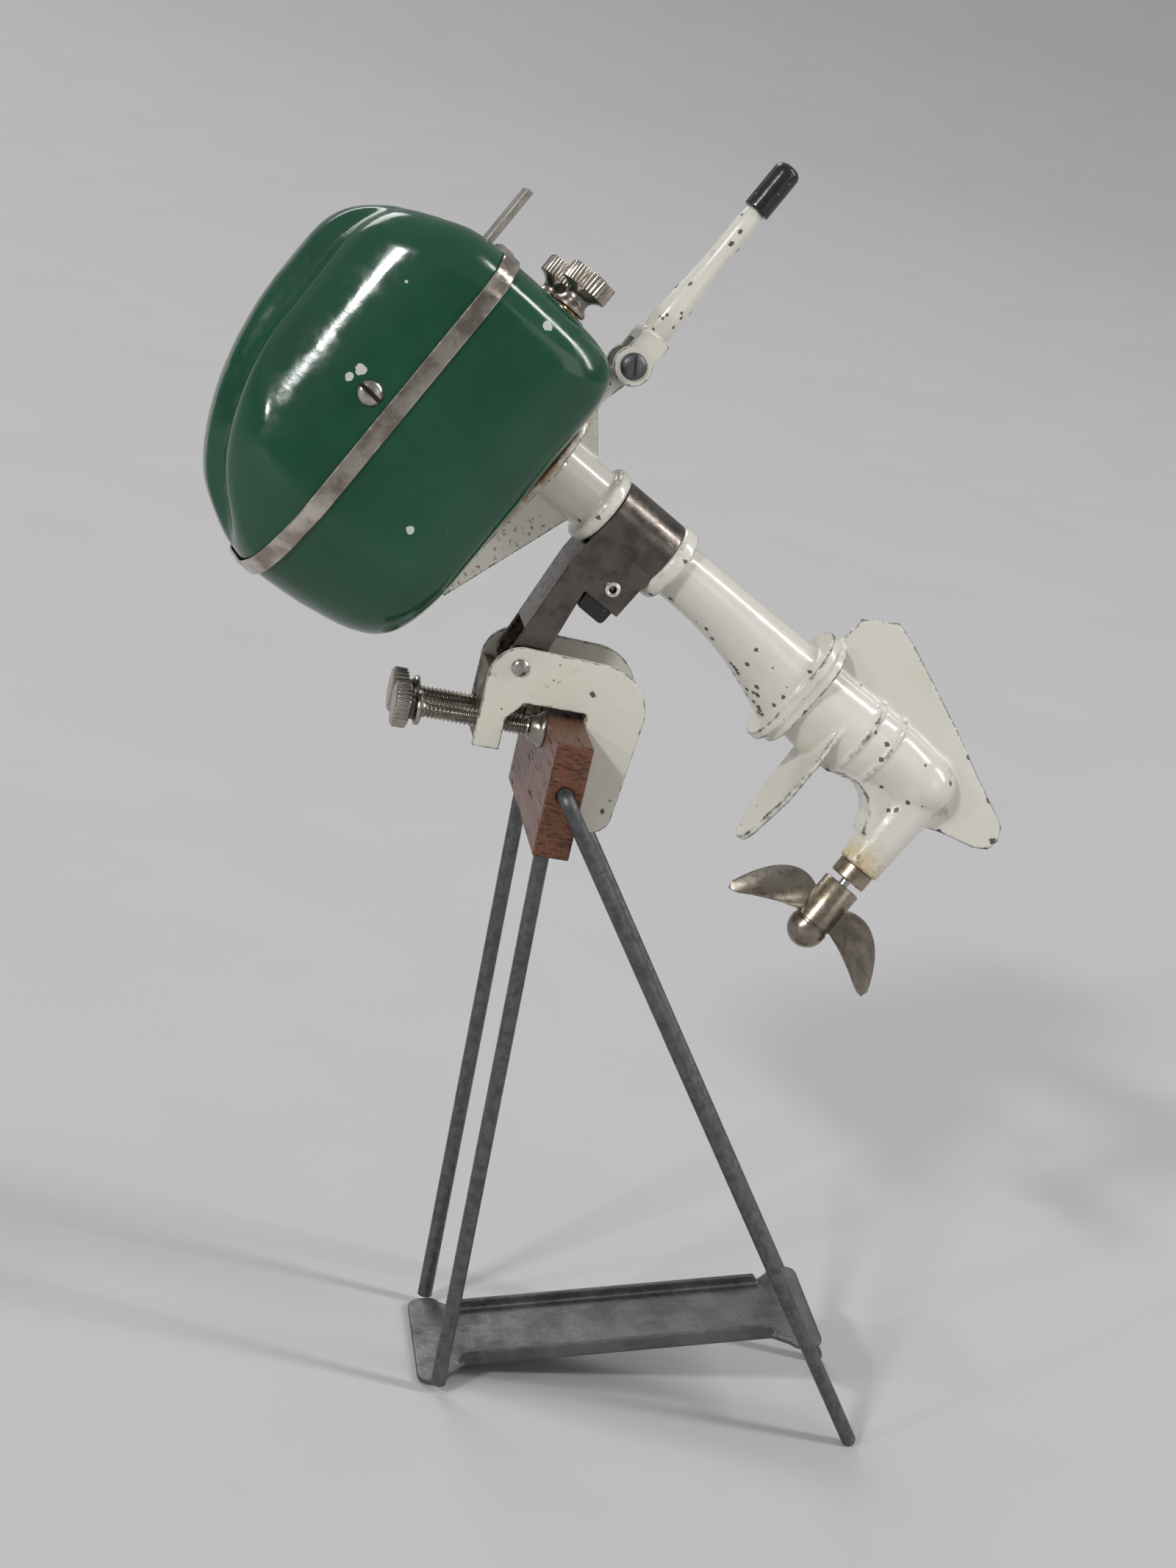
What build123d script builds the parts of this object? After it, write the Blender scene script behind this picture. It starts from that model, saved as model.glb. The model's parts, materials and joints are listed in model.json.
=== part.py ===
"""Miniature electric outboard motor, clamped by its swivel bracket to a wire display stand.

World frame: X across the stand, Y along the transom block, +Z up, floor at Z = 0.
The motor is drawn upright about its own steering axis, then steered and tilted into its rest pose.
Motor frame: origin at the middle of the swivel sleeve, +Z up the leg, +X towards the tiller.
"""
from build123d import *
import math
import os

os.makedirs("parts", exist_ok=True)

# ---- rest pose --------------------------------------------------------------------------------
SLEEVE_X, SLEEVE_Y, SLEEVE_Z = -1.782, 1.095, 140.0    # middle of the swivel sleeve in the world
TILT_REST = 61.0                                   # degrees the leg is swung up from vertical
STEER_REST = 8.0                                   # degrees the motor is steered in its sleeve

# ---- stand ------------------------------------------------------------------------------------
WIRE_R = 1.2
BLOCK_LENGTH, BLOCK_HEIGHT, BLOCK_THICK = 36.0, 18.0, 5.6
BLOCK_X, BLOCK_BOTTOM = -4.4, 92.9                 # middle of the block from the sleeve axis
HOLE_Z = 103.0                                     # height of the cross hole through the block
RIGHT_SLOPE = 0.70                                 # sideways run of the right legs per mm of drop
RIGHT_TOP_Y, RIGHT_TRAY_Y = 19.8, 14.6             # half spread of the right legs, top and at the tray
LEFT_LEG_Y = 14.6
LEFT_LEG_LEAN = 0.034
TRAY_TILT = 14.5                                   # degrees
TRAY_LENGTH, TRAY_WIDTH, TRAY_SHEET, TRAY_RIM = 66.0, 18.0, 0.9, 2.6
TRAY_END_WIDTH, TRAY_END_LENGTH = 26.8, 5.3
TRAY_X0 = -4.9                                     # where the tray's left edge meets the floor

# ---- clamp bracket ----------------------------------------------------------------------------
CHEEK_OUTER, CHEEK_SHEET = 6.2, 0.9
PIVOT_X, PIVOT_Z = -13.2, 117.9                    # tilt rivet, X from the sleeve axis
JAW_X = BLOCK_X + BLOCK_THICK / 2                  # fixed jaw face, which the block bears on
MOUTH_TOP, MOUTH_LEFT = 112.5, -13.7
CLAMP_LEFT, CLAMP_TOP, CLAMP_RIGHT = -17.9, 121.0, 7.2
CLAMP_LEG_BOTTOM, CLAMP_JAW_BOTTOM = 104.6, 94.1
RIVET_R = 0.9
SCREW_Z, SCREW_Y, THREAD_R = 108.3, 3.8, 1.42
SCREW_HEAD_X, SCREW_HEAD_R = -30.6, 3.5
PAD_R, PAD_LENGTH = 2.8, 2.4
RUN = 0.05                                         # radial running clearance of every moving fit

# ---- swivel strap (motor frame, before steering) ----------------------------------------------
JOURNAL_R = 5.05
STRAP_SHEET = 0.6
SLEEVE_HALF = 5.5
EAR_Y = 4.9
ARM_X = -25.7
ARM_Z = 0.8
ARM_R = 2.6
EYELET_X, EYELET_Z = -7.9, -2.1

# ---- leg casting (motor frame) ----------------------------------------------------------------
PLATE_BOTTOM, PLATE_TOP = 17.6, 18.9
COLLAR_TOP = 7.9
FLANGE_TOP, FLANGE_BOTTOM = -34.4, -37.9
SHAFT_Z = -62.8                                    # propeller axis
SNOUT_X, SNOUT_R = -17.1, 3.5
BORE_R = 2.2
SHAFT_R = 0.8
SPRING_R = 1.35
DRIVE_SHAFT_TOP, DRIVE_SHAFT_BOTTOM = 14.9, -54.0
PROP_SHAFT_FRONT, PROP_SHAFT_REAR = -7.4, -31.0
FLEX_TOP, FLEX_REAR = -52.2, -9.4                  # ends of the flexible drive, Z and X
BEND_R = 5.0                                       # bend of the flexible drive in the elbow
CHASSIS_SCREW_Y = 7.4
HUB_X0, HUB_X1, HUB_R = -20.7, -32.6, 3.2
BLADE_TURN = -16.0                                 # degrees the first blade stands off the leg's axis
# blade stations: radius, chord, pitch in degrees, X of the middle, skew along the chord, thickness
BLADE_STATIONS = [(2.4, 4.8, 126.0, -25.6, 0.0, 1.2), (4.4, 7.6, 134.0, -25.9, -0.4, 0.95),
                  (6.3, 9.4, 140.0, -26.4, -0.7, 0.8), (8.3, 10.2, 144.0, -27.3, -0.7, 0.72),
                  (10.2, 9.6, 147.0, -28.5, -0.5, 0.66), (11.8, 7.8, 149.0, -29.9, -0.2, 0.6),
                  (13.0, 5.2, 151.0, -31.1, 0.0, 0.5), (13.7, 2.4, 152.0, -31.8, 0.0, 0.4)]

# ---- cowl -------------------------------------------------------------------------------------
COWL_WALL = 0.8
COWL_FRONT_CORNER = 0.5                            # front corner radius over rear corner radius
BAND_HALF, BAND_SHEET, BAND_FIT = 1.4, 0.45, 0.18
SIDE_SCREW_X, SIDE_SCREW_Z, SIDE_SCREW_SEAT = -9.7, 47.3, 18.6
# (height, rear X, front X, half width, rear corner radius) of the cowl's outside
LOWER_SECTIONS = [(19.0, -29.0, 11.5, 11.5, 8.5), (21.3, -35.2, 15.5, 16.2, 11.5),
                  (26.0, -37.9, 17.0, 18.3, 13.0), (35.0, -39.5, 17.6, 19.0, 14.0),
                  (39.0, -39.8, 17.7, 18.97, 14.0), (43.0, -39.9, 17.7, 19.0, 14.0)]
UPPER_SECTIONS = [(43.0, -39.9, 17.7, 19.0, 14.0), (49.5, -37.6, 17.4, 18.6, 14.0),
                  (55.0, -33.4, 15.6, 17.0, 13.0), (59.0, -27.6, 13.2, 14.4, 11.0),
                  (62.4, -19.0, 10.2, 10.6, 8.0), (64.6, -8.5, 4.5, 5.5, 4.0)]

# ---- terminals, switch, tiller ----------------------------------------------------------------
TERMINAL_Y, TERMINAL_Z, STUD_R = 8.0, 31.0, 1.4
TERMINAL_SEAT, PANEL_HALF = 15.8, 11.4             # face and half width of the sunken front panel
PANEL_LOW, PANEL_HIGH = 23.5, 54.5
LEVER_Z, LEVER_SHEET, LEVER_PIVOT_X, LEVER_TIP_X = 45.0, 1.1, 8.0, 28.1
TILLER_X, TILLER_Z = 18.6, 16.9
TILLER_EAR_R = 3.0
GRIP_X, TILLER_TIP_X = 48.0, 56.3

# ---- electric motor ---------------------------------------------------------------------------
CAN_R, CAN_BOTTOM, CAN_TOP = 12.6, 20.6, 42.0
CAP_TOP = 43.6


def along_x(radius, x0, x1, y=0.0, z=0.0):
    """A cylinder from x0 to x1."""
    return Pos((x0 + x1) / 2, y, z) * Rot(0, 90, 0) * Cylinder(radius, abs(x1 - x0))


def along_y(radius, y0, y1, x=0.0, z=0.0):
    """A cylinder from y0 to y1."""
    return Pos(x, (y0 + y1) / 2, z) * Rot(90, 0, 0) * Cylinder(radius, abs(y1 - y0))


def along_z(radius, z0, z1, x=0.0, y=0.0):
    """A cylinder from z0 to z1."""
    return Pos(x, y, (z0 + z1) / 2) * Cylinder(radius, abs(z1 - z0))


def box(x0, x1, y0, y1, z0, z1):
    """A box between two corners."""
    return Pos((x0 + x1) / 2, (y0 + y1) / 2, (z0 + z1) / 2) * Box(x1 - x0, y1 - y0, z1 - z0)


def upright_plate(face_xz, y0, y1):
    """An outline drawn in X and Z, given thickness from y0 to y1."""
    flat = Rot(90, 0, 0) * face_xz
    return Pos(0, y1, 0) * extrude(flat, y1 - y0, dir=(0, -1, 0))


def polygon(points):
    """A closed outline through the points."""
    return make_face(Polyline(*points, close=True))


def disc_hull(*discs):
    """The rounded outline that wraps discs given as (x, y, radius)."""
    edges = []
    for x, y, r in discs:
        edges += (Pos(x, y) * Circle(r)).edges()
    return make_hull(edges)


def in_strap(shape):
    """From the motor frame to the world, for what tilts but doesn't steer."""
    return Pos(SLEEVE_X, SLEEVE_Y, SLEEVE_Z) * Rot(0, -TILT_REST, 0) * shape


def in_motor(shape):
    """From the motor frame to the world, for what tilts and steers."""
    return in_strap(Rot(0, 0, STEER_REST) * shape)


def in_stand(shape):
    """From stand coordinates, with X counted from the sleeve axis, to the world."""
    return Pos(SLEEVE_X, SLEEVE_Y, 0) * shape


# ---- display stand ----------------------------------------------------------------------------
def right_leg_x(z):
    """Where the right legs stand at a height, from the sleeve axis."""
    return BLOCK_X + RIGHT_SLOPE * (HOLE_Z - z)


def make_base_tray():
    """A shallow sheet channel whose flat ends are wider and carry the legs."""
    mid0, mid1 = TRAY_END_LENGTH, TRAY_LENGTH - TRAY_END_LENGTH
    half = TRAY_WIDTH / 2
    flare = 2.5
    corner = 2.4
    outline = []
    outline.append(Pos(TRAY_LENGTH / 2, 0) * Rectangle(TRAY_LENGTH - 2, TRAY_WIDTH))
    for x0 in (0.0, mid1):
        end = Pos(x0 + TRAY_END_LENGTH / 2, 0) * RectangleRounded(TRAY_END_LENGTH, TRAY_END_WIDTH, corner)
        outline.append(end)
    for x, way in ((mid0, 1), (mid1, -1)):
        for side in (1, -1):
            outline.append(make_face(Polyline((x - way, side * (half - 1)), (x - way, side * (half + flare)),
                                              (x, side * (half + flare)), (x + way * flare, side * half),
                                              (x + way * flare, side * (half - 1)), close=True)))
    plan = outline[0]
    for piece in outline[1:]:
        plan = plan + piece
    sheet = extrude(plan, TRAY_SHEET)
    for side in (1, -1):
        rim = upright_plate(polygon([(mid0 + 1.0, 0), (mid1 - 1.0, 0), (mid1 - 2.5, TRAY_RIM),
                                     (mid0 + 2.5, TRAY_RIM)]), half - TRAY_SHEET, half)
        sheet += rim if side > 0 else mirror(rim, Plane.XZ)
    sheet = Pos(TRAY_X0, 0, 0) * Rot(0, -TRAY_TILT, 0) * sheet
    return in_stand(sheet)


def make_left_leg(side):
    """A straight wire from a blind hole in the block down to the end of the tray."""
    top_z, foot_z = BLOCK_BOTTOM + 6.0, 1.6
    top_x = BLOCK_X - 1.0
    drop = top_z - foot_z
    axis = Vector(LEFT_LEG_LEAN * drop, 0, -drop)
    start = Plane(origin=(top_x, side * LEFT_LEG_Y, top_z), z_dir=axis)
    return in_stand(extrude(start * Circle(WIRE_R), axis.length))


def make_right_leg_wire():
    """One wire bent through the block's cross hole, with both legs splayed to the floor."""
    foot_z = 1.0
    toe_in = (RIGHT_TOP_Y - RIGHT_TRAY_Y) / (HOLE_Z - 16.0)
    foot_y = RIGHT_TOP_Y - toe_in * (HOLE_Z - foot_z)
    foot_x = right_leg_x(foot_z)
    path = FilletPolyline((foot_x, -foot_y, foot_z), (BLOCK_X, -RIGHT_TOP_Y, HOLE_Z),
                          (BLOCK_X, RIGHT_TOP_Y, HOLE_Z), (foot_x, foot_y, foot_z), radius=1.8)
    start = Plane(origin=path @ 0, z_dir=path % 0)
    wire = sweep(start * Circle(WIRE_R), path=path)
    for side in (1, -1):
        wire += Pos(foot_x, side * foot_y, foot_z) * Sphere(WIRE_R)
    wire -= box(foot_x - 5, foot_x + 5, -30, 30, -5, 0)
    return in_stand(wire)


def make_transom_block(legs):
    """The wooden block that stands in for a boat's transom, drilled for the stand's wires."""
    x0, x1 = BLOCK_X - BLOCK_THICK / 2, BLOCK_X + BLOCK_THICK / 2
    half = BLOCK_LENGTH / 2
    block = box(x0, x1, -half, half, BLOCK_BOTTOM, BLOCK_BOTTOM + BLOCK_HEIGHT)
    block -= along_y(WIRE_R + RUN, -half - 1, half + 1, BLOCK_X, HOLE_Z)
    block = in_stand(block)
    for leg in legs:
        block -= leg
    return block


# ---- clamp bracket ----------------------------------------------------------------------------
def cheek_outline():
    """Side view of the hook-shaped bracket: short threaded leg, top bar and long fixed jaw."""
    edge = Polyline((CLAMP_LEFT, CLAMP_LEG_BOTTOM), (CLAMP_LEFT + 0.2, CLAMP_TOP - 5.6))
    edge += RadiusArc((CLAMP_LEFT + 0.2, CLAMP_TOP - 5.6), (CLAMP_LEFT + 4.6, CLAMP_TOP), 5.2)
    edge += Line((CLAMP_LEFT + 4.6, CLAMP_TOP), (CLAMP_RIGHT - 7.0, CLAMP_TOP - 0.4))
    edge += RadiusArc((CLAMP_RIGHT - 7.0, CLAMP_TOP - 0.4), (CLAMP_RIGHT, CLAMP_TOP - 8.0), 7.6)
    edge += Line((CLAMP_RIGHT, CLAMP_TOP - 8.0), (CLAMP_RIGHT - 1.5, CLAMP_JAW_BOTTOM + 2.8))
    edge += RadiusArc((CLAMP_RIGHT - 1.5, CLAMP_JAW_BOTTOM + 2.8), (CLAMP_RIGHT - 4.3, CLAMP_JAW_BOTTOM), 3.0)
    edge += Polyline((CLAMP_RIGHT - 4.3, CLAMP_JAW_BOTTOM), (JAW_X, CLAMP_JAW_BOTTOM), (JAW_X, MOUTH_TOP),
                     (MOUTH_LEFT + 2.5, MOUTH_TOP), (MOUTH_LEFT, MOUTH_TOP - 2.9),
                     (MOUTH_LEFT, CLAMP_LEG_BOTTOM), (CLAMP_LEFT, CLAMP_LEG_BOTTOM))
    return make_face(edge.edges())


def make_clamp_bracket():
    """Two pressed cheeks joined by a web round the mouth and down the fixed jaw."""
    inner = CHEEK_OUTER - CHEEK_SHEET
    near = upright_plate(cheek_outline(), -CHEEK_OUTER, -inner)
    bracket = near + mirror(near, Plane.XZ)
    bracket += box(MOUTH_LEFT + 2.5, JAW_X + CHEEK_SHEET, -inner, inner, MOUTH_TOP, MOUTH_TOP + CHEEK_SHEET)
    bracket += box(JAW_X, JAW_X + CHEEK_SHEET, -inner, inner, CLAMP_JAW_BOTTOM, MOUTH_TOP + CHEEK_SHEET)
    bracket -= along_y(RIVET_R, -9, 9, PIVOT_X, PIVOT_Z)
    return in_stand(bracket)


def make_clamp_screw_plate():
    """The plain steel plate between the cheeks that both clamp screws are threaded through."""
    inner = CHEEK_OUTER - CHEEK_SHEET
    plate = box(CLAMP_LEFT + 0.4, CLAMP_LEFT + 2.2, -inner, inner, CLAMP_LEG_BOTTOM + 0.3, 116.0)
    for side in (1, -1):
        plate -= along_x(THREAD_R + RUN, CLAMP_LEFT - 1, CLAMP_LEFT + 4, side * SCREW_Y, SCREW_Z)
    return in_stand(plate)


def make_tilt_rivet():
    """Domed rivet through both cheeks and the swivel strap."""
    rivet = along_y(RIVET_R, -CHEEK_OUTER, CHEEK_OUTER, PIVOT_X, PIVOT_Z)
    dome = Sphere(1.7) & box(-2, 2, -2, -1.0, -2, 2)
    for side in (1, -1):
        head = Pos(PIVOT_X, -CHEEK_OUTER + 1.0, PIVOT_Z) * dome
        rivet += head if side > 0 else mirror(head, Plane.XZ)
    return in_stand(rivet)


def make_clamp_screw(side):
    """Knurled thumbscrew; its turned-down tip is held in the swivel pad."""
    y = side * SCREW_Y
    head_end = SCREW_HEAD_X + 2.5
    pad_back = JAW_X - BLOCK_THICK - PAD_LENGTH
    screw = along_x(SCREW_HEAD_R, SCREW_HEAD_X, head_end, y, SCREW_Z)
    screw += along_x(2.0, head_end, head_end + 0.9, y, SCREW_Z)
    screw += along_x(2.7, head_end + 0.9, head_end + 1.9, y, SCREW_Z)
    screw += along_x(THREAD_R, head_end + 1.9, pad_back - 0.1, y, SCREW_Z)
    screw += along_x(0.8, pad_back - 0.1, pad_back + 1.5, y, SCREW_Z)
    return in_stand(screw)


def make_clamp_pad(side):
    """Swivel pad, a shallow cone that presses the block."""
    face = JAW_X - BLOCK_THICK
    pad = Pos(face - PAD_LENGTH / 2, side * SCREW_Y, SCREW_Z) * Rot(0, 90, 0) * Cone(1.8, PAD_R, PAD_LENGTH)
    pad -= along_x(0.8 + RUN, face - PAD_LENGTH - 1, face - PAD_LENGTH + 1.6, side * SCREW_Y, SCREW_Z)
    return in_stand(pad)


# ---- swivel strap -----------------------------------------------------------------------------
def make_swivel_strap():
    """One strip wrapped round the leg; its two ends run back as ears and as the tilting arm."""
    inner_r = JOURNAL_R + RUN
    ring_r = inner_r + STRAP_SHEET
    ear_in = EAR_Y - STRAP_SHEET
    ring = along_z(ring_r, -SLEEVE_HALF, SLEEVE_HALF)
    ring -= box(-9, -2.6, -ear_in, ear_in, -9, 9)
    side_view = polygon([(-2.6, SLEEVE_HALF), (-2.6, -SLEEVE_HALF), (-10.8, -SLEEVE_HALF), (-10.8, 0.9),
                         (ARM_X + 0.4, ARM_Z - ARM_R), (ARM_X + 0.4, ARM_Z + ARM_R), (-9.0, SLEEVE_HALF)])
    side_view += Pos(ARM_X, ARM_Z) * Circle(ARM_R)
    near = upright_plate(side_view, -EAR_Y, -ear_in)
    strap = ring + near + mirror(near, Plane.XZ)
    drop = 12.0 * (SLEEVE_HALF - ARM_Z - ARM_R) / (-9.0 - ARM_X)
    web = polygon([(-5.2, SLEEVE_HALF), (-9.0, SLEEVE_HALF), (-21.0, SLEEVE_HALF - drop),
                   (-21.0, SLEEVE_HALF - drop - STRAP_SHEET), (-9.0, SLEEVE_HALF - STRAP_SHEET),
                   (-5.2, SLEEVE_HALF - STRAP_SHEET)])
    strap += upright_plate(web, -EAR_Y, EAR_Y)
    strap -= along_z(inner_r, -9, 9)
    strap -= along_y(RIVET_R + RUN, -9, 9, ARM_X, ARM_Z)
    strap -= along_y(0.9, -9, 9, EYELET_X, EYELET_Z)
    return in_strap(strap)



def make_strap_eyelet():
    """Hollow rivet that closes the strap round the leg."""
    eyelet = along_y(0.9, -EAR_Y, EAR_Y, EYELET_X, EYELET_Z)
    for side in (1, -1):
        eyelet += along_y(1.25, side * EAR_Y, side * (EAR_Y + 0.35), EYELET_X, EYELET_Z)
    eyelet -= along_y(0.55, -9, 9, EYELET_X, EYELET_Z)
    return in_strap(eyelet)


def make_tilt_stop_pad():
    """Rubber pad gripped between the ears, which rests on the transom when the motor is down."""
    ear_in = EAR_Y - STRAP_SHEET
    pad = box(-13.3, -6.3, -ear_in, ear_in, -4.7, 0.4)
    pad = fillet(pad.edges().filter_by(Axis.Y).group_by(Axis.X)[0], 0.7)
    pad -= along_y(0.9, -9, 9, EYELET_X, EYELET_Z)
    return in_strap(pad)


# ---- leg casting ------------------------------------------------------------------------------
def elbow_sweep(z_top, x_rear, radius):
    """A round rod down the leg, round the elbow and back along the propeller's axis."""
    diagonal = BEND_R * (1 - math.sqrt(0.5))
    path = Line((0, 0, z_top), (0, 0, SHAFT_Z + BEND_R))
    path += ThreePointArc((0, 0, SHAFT_Z + BEND_R), (-diagonal, 0, SHAFT_Z + diagonal),
                          (-BEND_R, 0, SHAFT_Z))
    path += Line((-BEND_R, 0, SHAFT_Z), (x_rear, 0, SHAFT_Z))
    return sweep(Pos(0, 0, z_top) * Circle(radius), path=path)


def oval(x_front, x_rear, half_width):
    """An ellipse between two X values."""
    return Pos((x_front + x_rear) / 2, 0) * Ellipse((x_front - x_rear) / 2, half_width)


def stacked_loft(sections):
    """A smooth body through plan sections given as (height, face)."""
    return loft([Pos(0, 0, z) * face for z, face in sections])


def make_chassis_plate():
    """Flat plate the cowl sits on, with the tiller lug in front and a rib on each side of the neck."""
    plan = disc_hull((0.0, 0.0, 11.5), (-23.2, 0.0, 2.6), (10.0, 0.0, 5.0))
    plate = Pos(0, 0, PLATE_BOTTOM) * extrude(plan, PLATE_TOP - PLATE_BOTTOM)
    rear_rib = polygon([(-3, PLATE_BOTTOM + 0.5), (-25.0, PLATE_BOTTOM + 0.5), (-25.4, 16.4), (-3, 8.6)])
    front_rib = polygon([(3, PLATE_BOTTOM + 0.5), (12.5, PLATE_BOTTOM + 0.5), (3, 9.8)])
    for rib in (rear_rib, front_rib):
        plate += upright_plate(rib, -0.8, 0.8)
    lug = polygon([(9, PLATE_BOTTOM - 0.2), (TILLER_X, TILLER_Z - 2.0), (TILLER_X, TILLER_Z + 2.0),
                   (9, PLATE_TOP)])
    plate += upright_plate(lug, -1.5, 1.5) + along_y(2.2, -1.5, 1.5, TILLER_X, TILLER_Z)
    return plate


def make_leg_tube():
    """Neck, both collars, the sleeve journal and the tube that flares back to the flange."""
    tube = along_z(4.9, COLLAR_TOP - 1, PLATE_BOTTOM + 0.5)
    for z0, z1, r in ((SLEEVE_HALF + 0.1, COLLAR_TOP, 6.3), (-8.3, -SLEEVE_HALF - 0.1, 6.2)):
        ring = along_z(r, z0, z1)
        tube += fillet(ring.edges().filter_by(GeomType.CIRCLE), 0.7)
    tube += along_z(JOURNAL_R, -SLEEVE_HALF - 0.5, SLEEVE_HALF + 0.5)
    tube += stacked_loft([(-8.0, oval(4.5, -4.5, 4.5)), (-16.0, oval(4.6, -4.6, 4.5)),
                          (-24.0, oval(4.7, -5.8, 4.7)), (-30.0, oval(4.8, -7.6, 5.0)),
                          (FLANGE_TOP, oval(4.9, -9.3, 5.3))])
    return tube


def make_flange():
    """Two stacked rims where the tube meets the gear leg."""
    upper = disc_hull((1.9, 0, 6.3), (-7.0, 0, 5.0))
    lower = disc_hull((1.7, 0, 6.0), (-6.2, 0, 4.8))
    rim = Pos(0, 0, FLANGE_TOP - 1.7) * extrude(upper, 1.7)
    rim += Pos(0, 0, FLANGE_TOP - 2.4) * extrude(disc_hull((1.7, 0, 5.6), (-6.2, 0, 4.4)), 1.0)
    rim += Pos(0, 0, FLANGE_BOTTOM) * extrude(lower, 1.6)
    return rim


def make_gear_leg():
    """Streamlined leg, rounded elbow and the tapered snout that carries the propeller shaft."""
    leg = stacked_loft([(FLANGE_BOTTOM + 0.2, oval(4.8, -8.5, 4.7)), (-43.0, oval(4.8, -9.0, 4.6)),
                        (-48.0, oval(4.9, -8.6, 4.5)), (-53.0, oval(5.0, -7.2, 4.5)),
                        (-60.5, oval(4.6, -7.4, 4.4))])
    leg += Pos(-0.7, 0, SHAFT_Z + 0.9) * Sphere(5.35)
    barrel = Pos((SNOUT_X - 1.0) / 2, 0, SHAFT_Z) * Rot(0, -90, 0) * Cone(4.45, SNOUT_R, -SNOUT_X - 1.0)
    leg += barrel + along_x(SNOUT_R, SNOUT_X, SNOUT_X + 0.4, 0, SHAFT_Z)
    throat = polygon([(-4, -47.5), (-8.8, -47.5), (-7.4, -50.2), (-7.1, -53.0), (-8.0, -55.8),
                      (-9.8, -57.6), (-12.6, -58.7), (-12.6, -61.0), (-4, -61.0)])
    leg += upright_plate(throat, -2.6, 2.6)
    for z in (-48.8, -53.2):
        ridge = oval(5.35, -8.4, 4.95) if z > -50 else oval(5.4, -7.5, 4.95)
        leg += Pos(0, 0, z) * extrude(ridge, 0.8)
    return leg


def make_fins():
    """Cavitation plate behind the leg, and the thin fin that runs down its front to the skeg."""
    leaf = disc_hull((-2.0, 0, 4.5), (-9.0, 0, 6.0), (-15.0, 0, 5.9), (-22.0, 0, 3.4))
    plate = Pos(0, 0, -44.9) * extrude(leaf, 1.1)
    fin = polygon([(3.0, FLANGE_TOP - 2.0), (8.0, FLANGE_TOP - 2.0), (12.8, -36.9), (16.1, -42.1),
                   (14.8, -46.8), (12.4, -53.1), (9.3, -61.1), (6.0, -68.6), (3.5, -74.8),
                   (2.4, -77.2), (0.2, -78.3), (-1.8, -77.9), (-3.1, -75.7), (-4.6, -69.6),
                   (-6.5, -65.0), (0.0, -60.0)])
    return plate + upright_plate(fin, -0.55, 0.55)


def make_leg_casting():
    """The whole white casting, bored for the drive shaft and the propeller shaft."""
    casting = make_chassis_plate() + make_leg_tube() + make_flange() + make_gear_leg() + make_fins()
    casting -= elbow_sweep(PLATE_TOP + 1, SNOUT_X - 1, BORE_R)
    casting -= along_y(0.8, -3, 3, TILLER_X, TILLER_Z)
    for side in (1, -1):
        casting -= along_z(0.85, PLATE_BOTTOM - 1, PLATE_TOP + 1, 0, side * CHASSIS_SCREW_Y)
    return in_motor(casting)



# ---- cowl -------------------------------------------------------------------------------------
def cowl_section(section, inset):
    """One plan section of the cowl, moved inward by the inset."""
    z, rear, front, half, corner = section
    back_r = corner - inset
    front_r = corner * COWL_FRONT_CORNER - inset
    back_x, back_y = rear + corner, half - corner
    front_x, front_y = front - inset - front_r, half - inset - front_r
    outline = disc_hull((back_x, back_y, back_r), (back_x, -back_y, back_r),
                        (front_x, front_y, front_r), (front_x, -front_y, front_r))
    return Pos(0, 0, z) * outline


def cowl_body(sections, inset, trim_low, trim_high):
    """Loft through the sections, with the end sections moved in height."""
    faces = []
    for i, section in enumerate(sections):
        face = cowl_section(section, inset)
        if i == 0:
            face = Pos(0, 0, trim_low) * face
        if i == len(sections) - 1:
            face = Pos(0, 0, trim_high) * face
        faces.append(face)
    return loft(faces)


def hollow_with_panel(outside, inside, z0, z1):
    """Hollow out a cowl half and sink the flat panel into its front, between two heights."""
    low, high = max(z0 - 2, PANEL_LOW), min(z1 + 2, PANEL_HIGH)
    low_wall, high_wall = max(z0 - 2, PANEL_LOW - COWL_WALL), min(z1 + 2, PANEL_HIGH + COWL_WALL)
    half_wall = PANEL_HALF + COWL_WALL
    inside = inside - box(TERMINAL_SEAT - COWL_WALL, 25, -half_wall, half_wall, low_wall, high_wall)
    return outside - inside - box(TERMINAL_SEAT, 25, -PANEL_HALF, PANEL_HALF, low, high)


def make_lower_cowl():
    """Green lower half: a hollow tub with holes for the leg, the screws and the terminals."""
    outside = cowl_body(LOWER_SECTIONS, 0, 0, 0)
    inside = cowl_body(LOWER_SECTIONS, COWL_WALL, COWL_WALL, 1.0)
    shell = hollow_with_panel(outside, inside, LOWER_SECTIONS[0][0], LOWER_SECTIONS[-1][0])
    shell -= along_z(6.0, 10, 25)
    for side in (1, -1):
        shell -= along_x(STUD_R + 0.02, 10, 25, side * TERMINAL_Y, TERMINAL_Z)
        shell -= along_z(0.85, 15, 25, 0, side * CHASSIS_SCREW_Y)
    return in_motor(shell)


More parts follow.
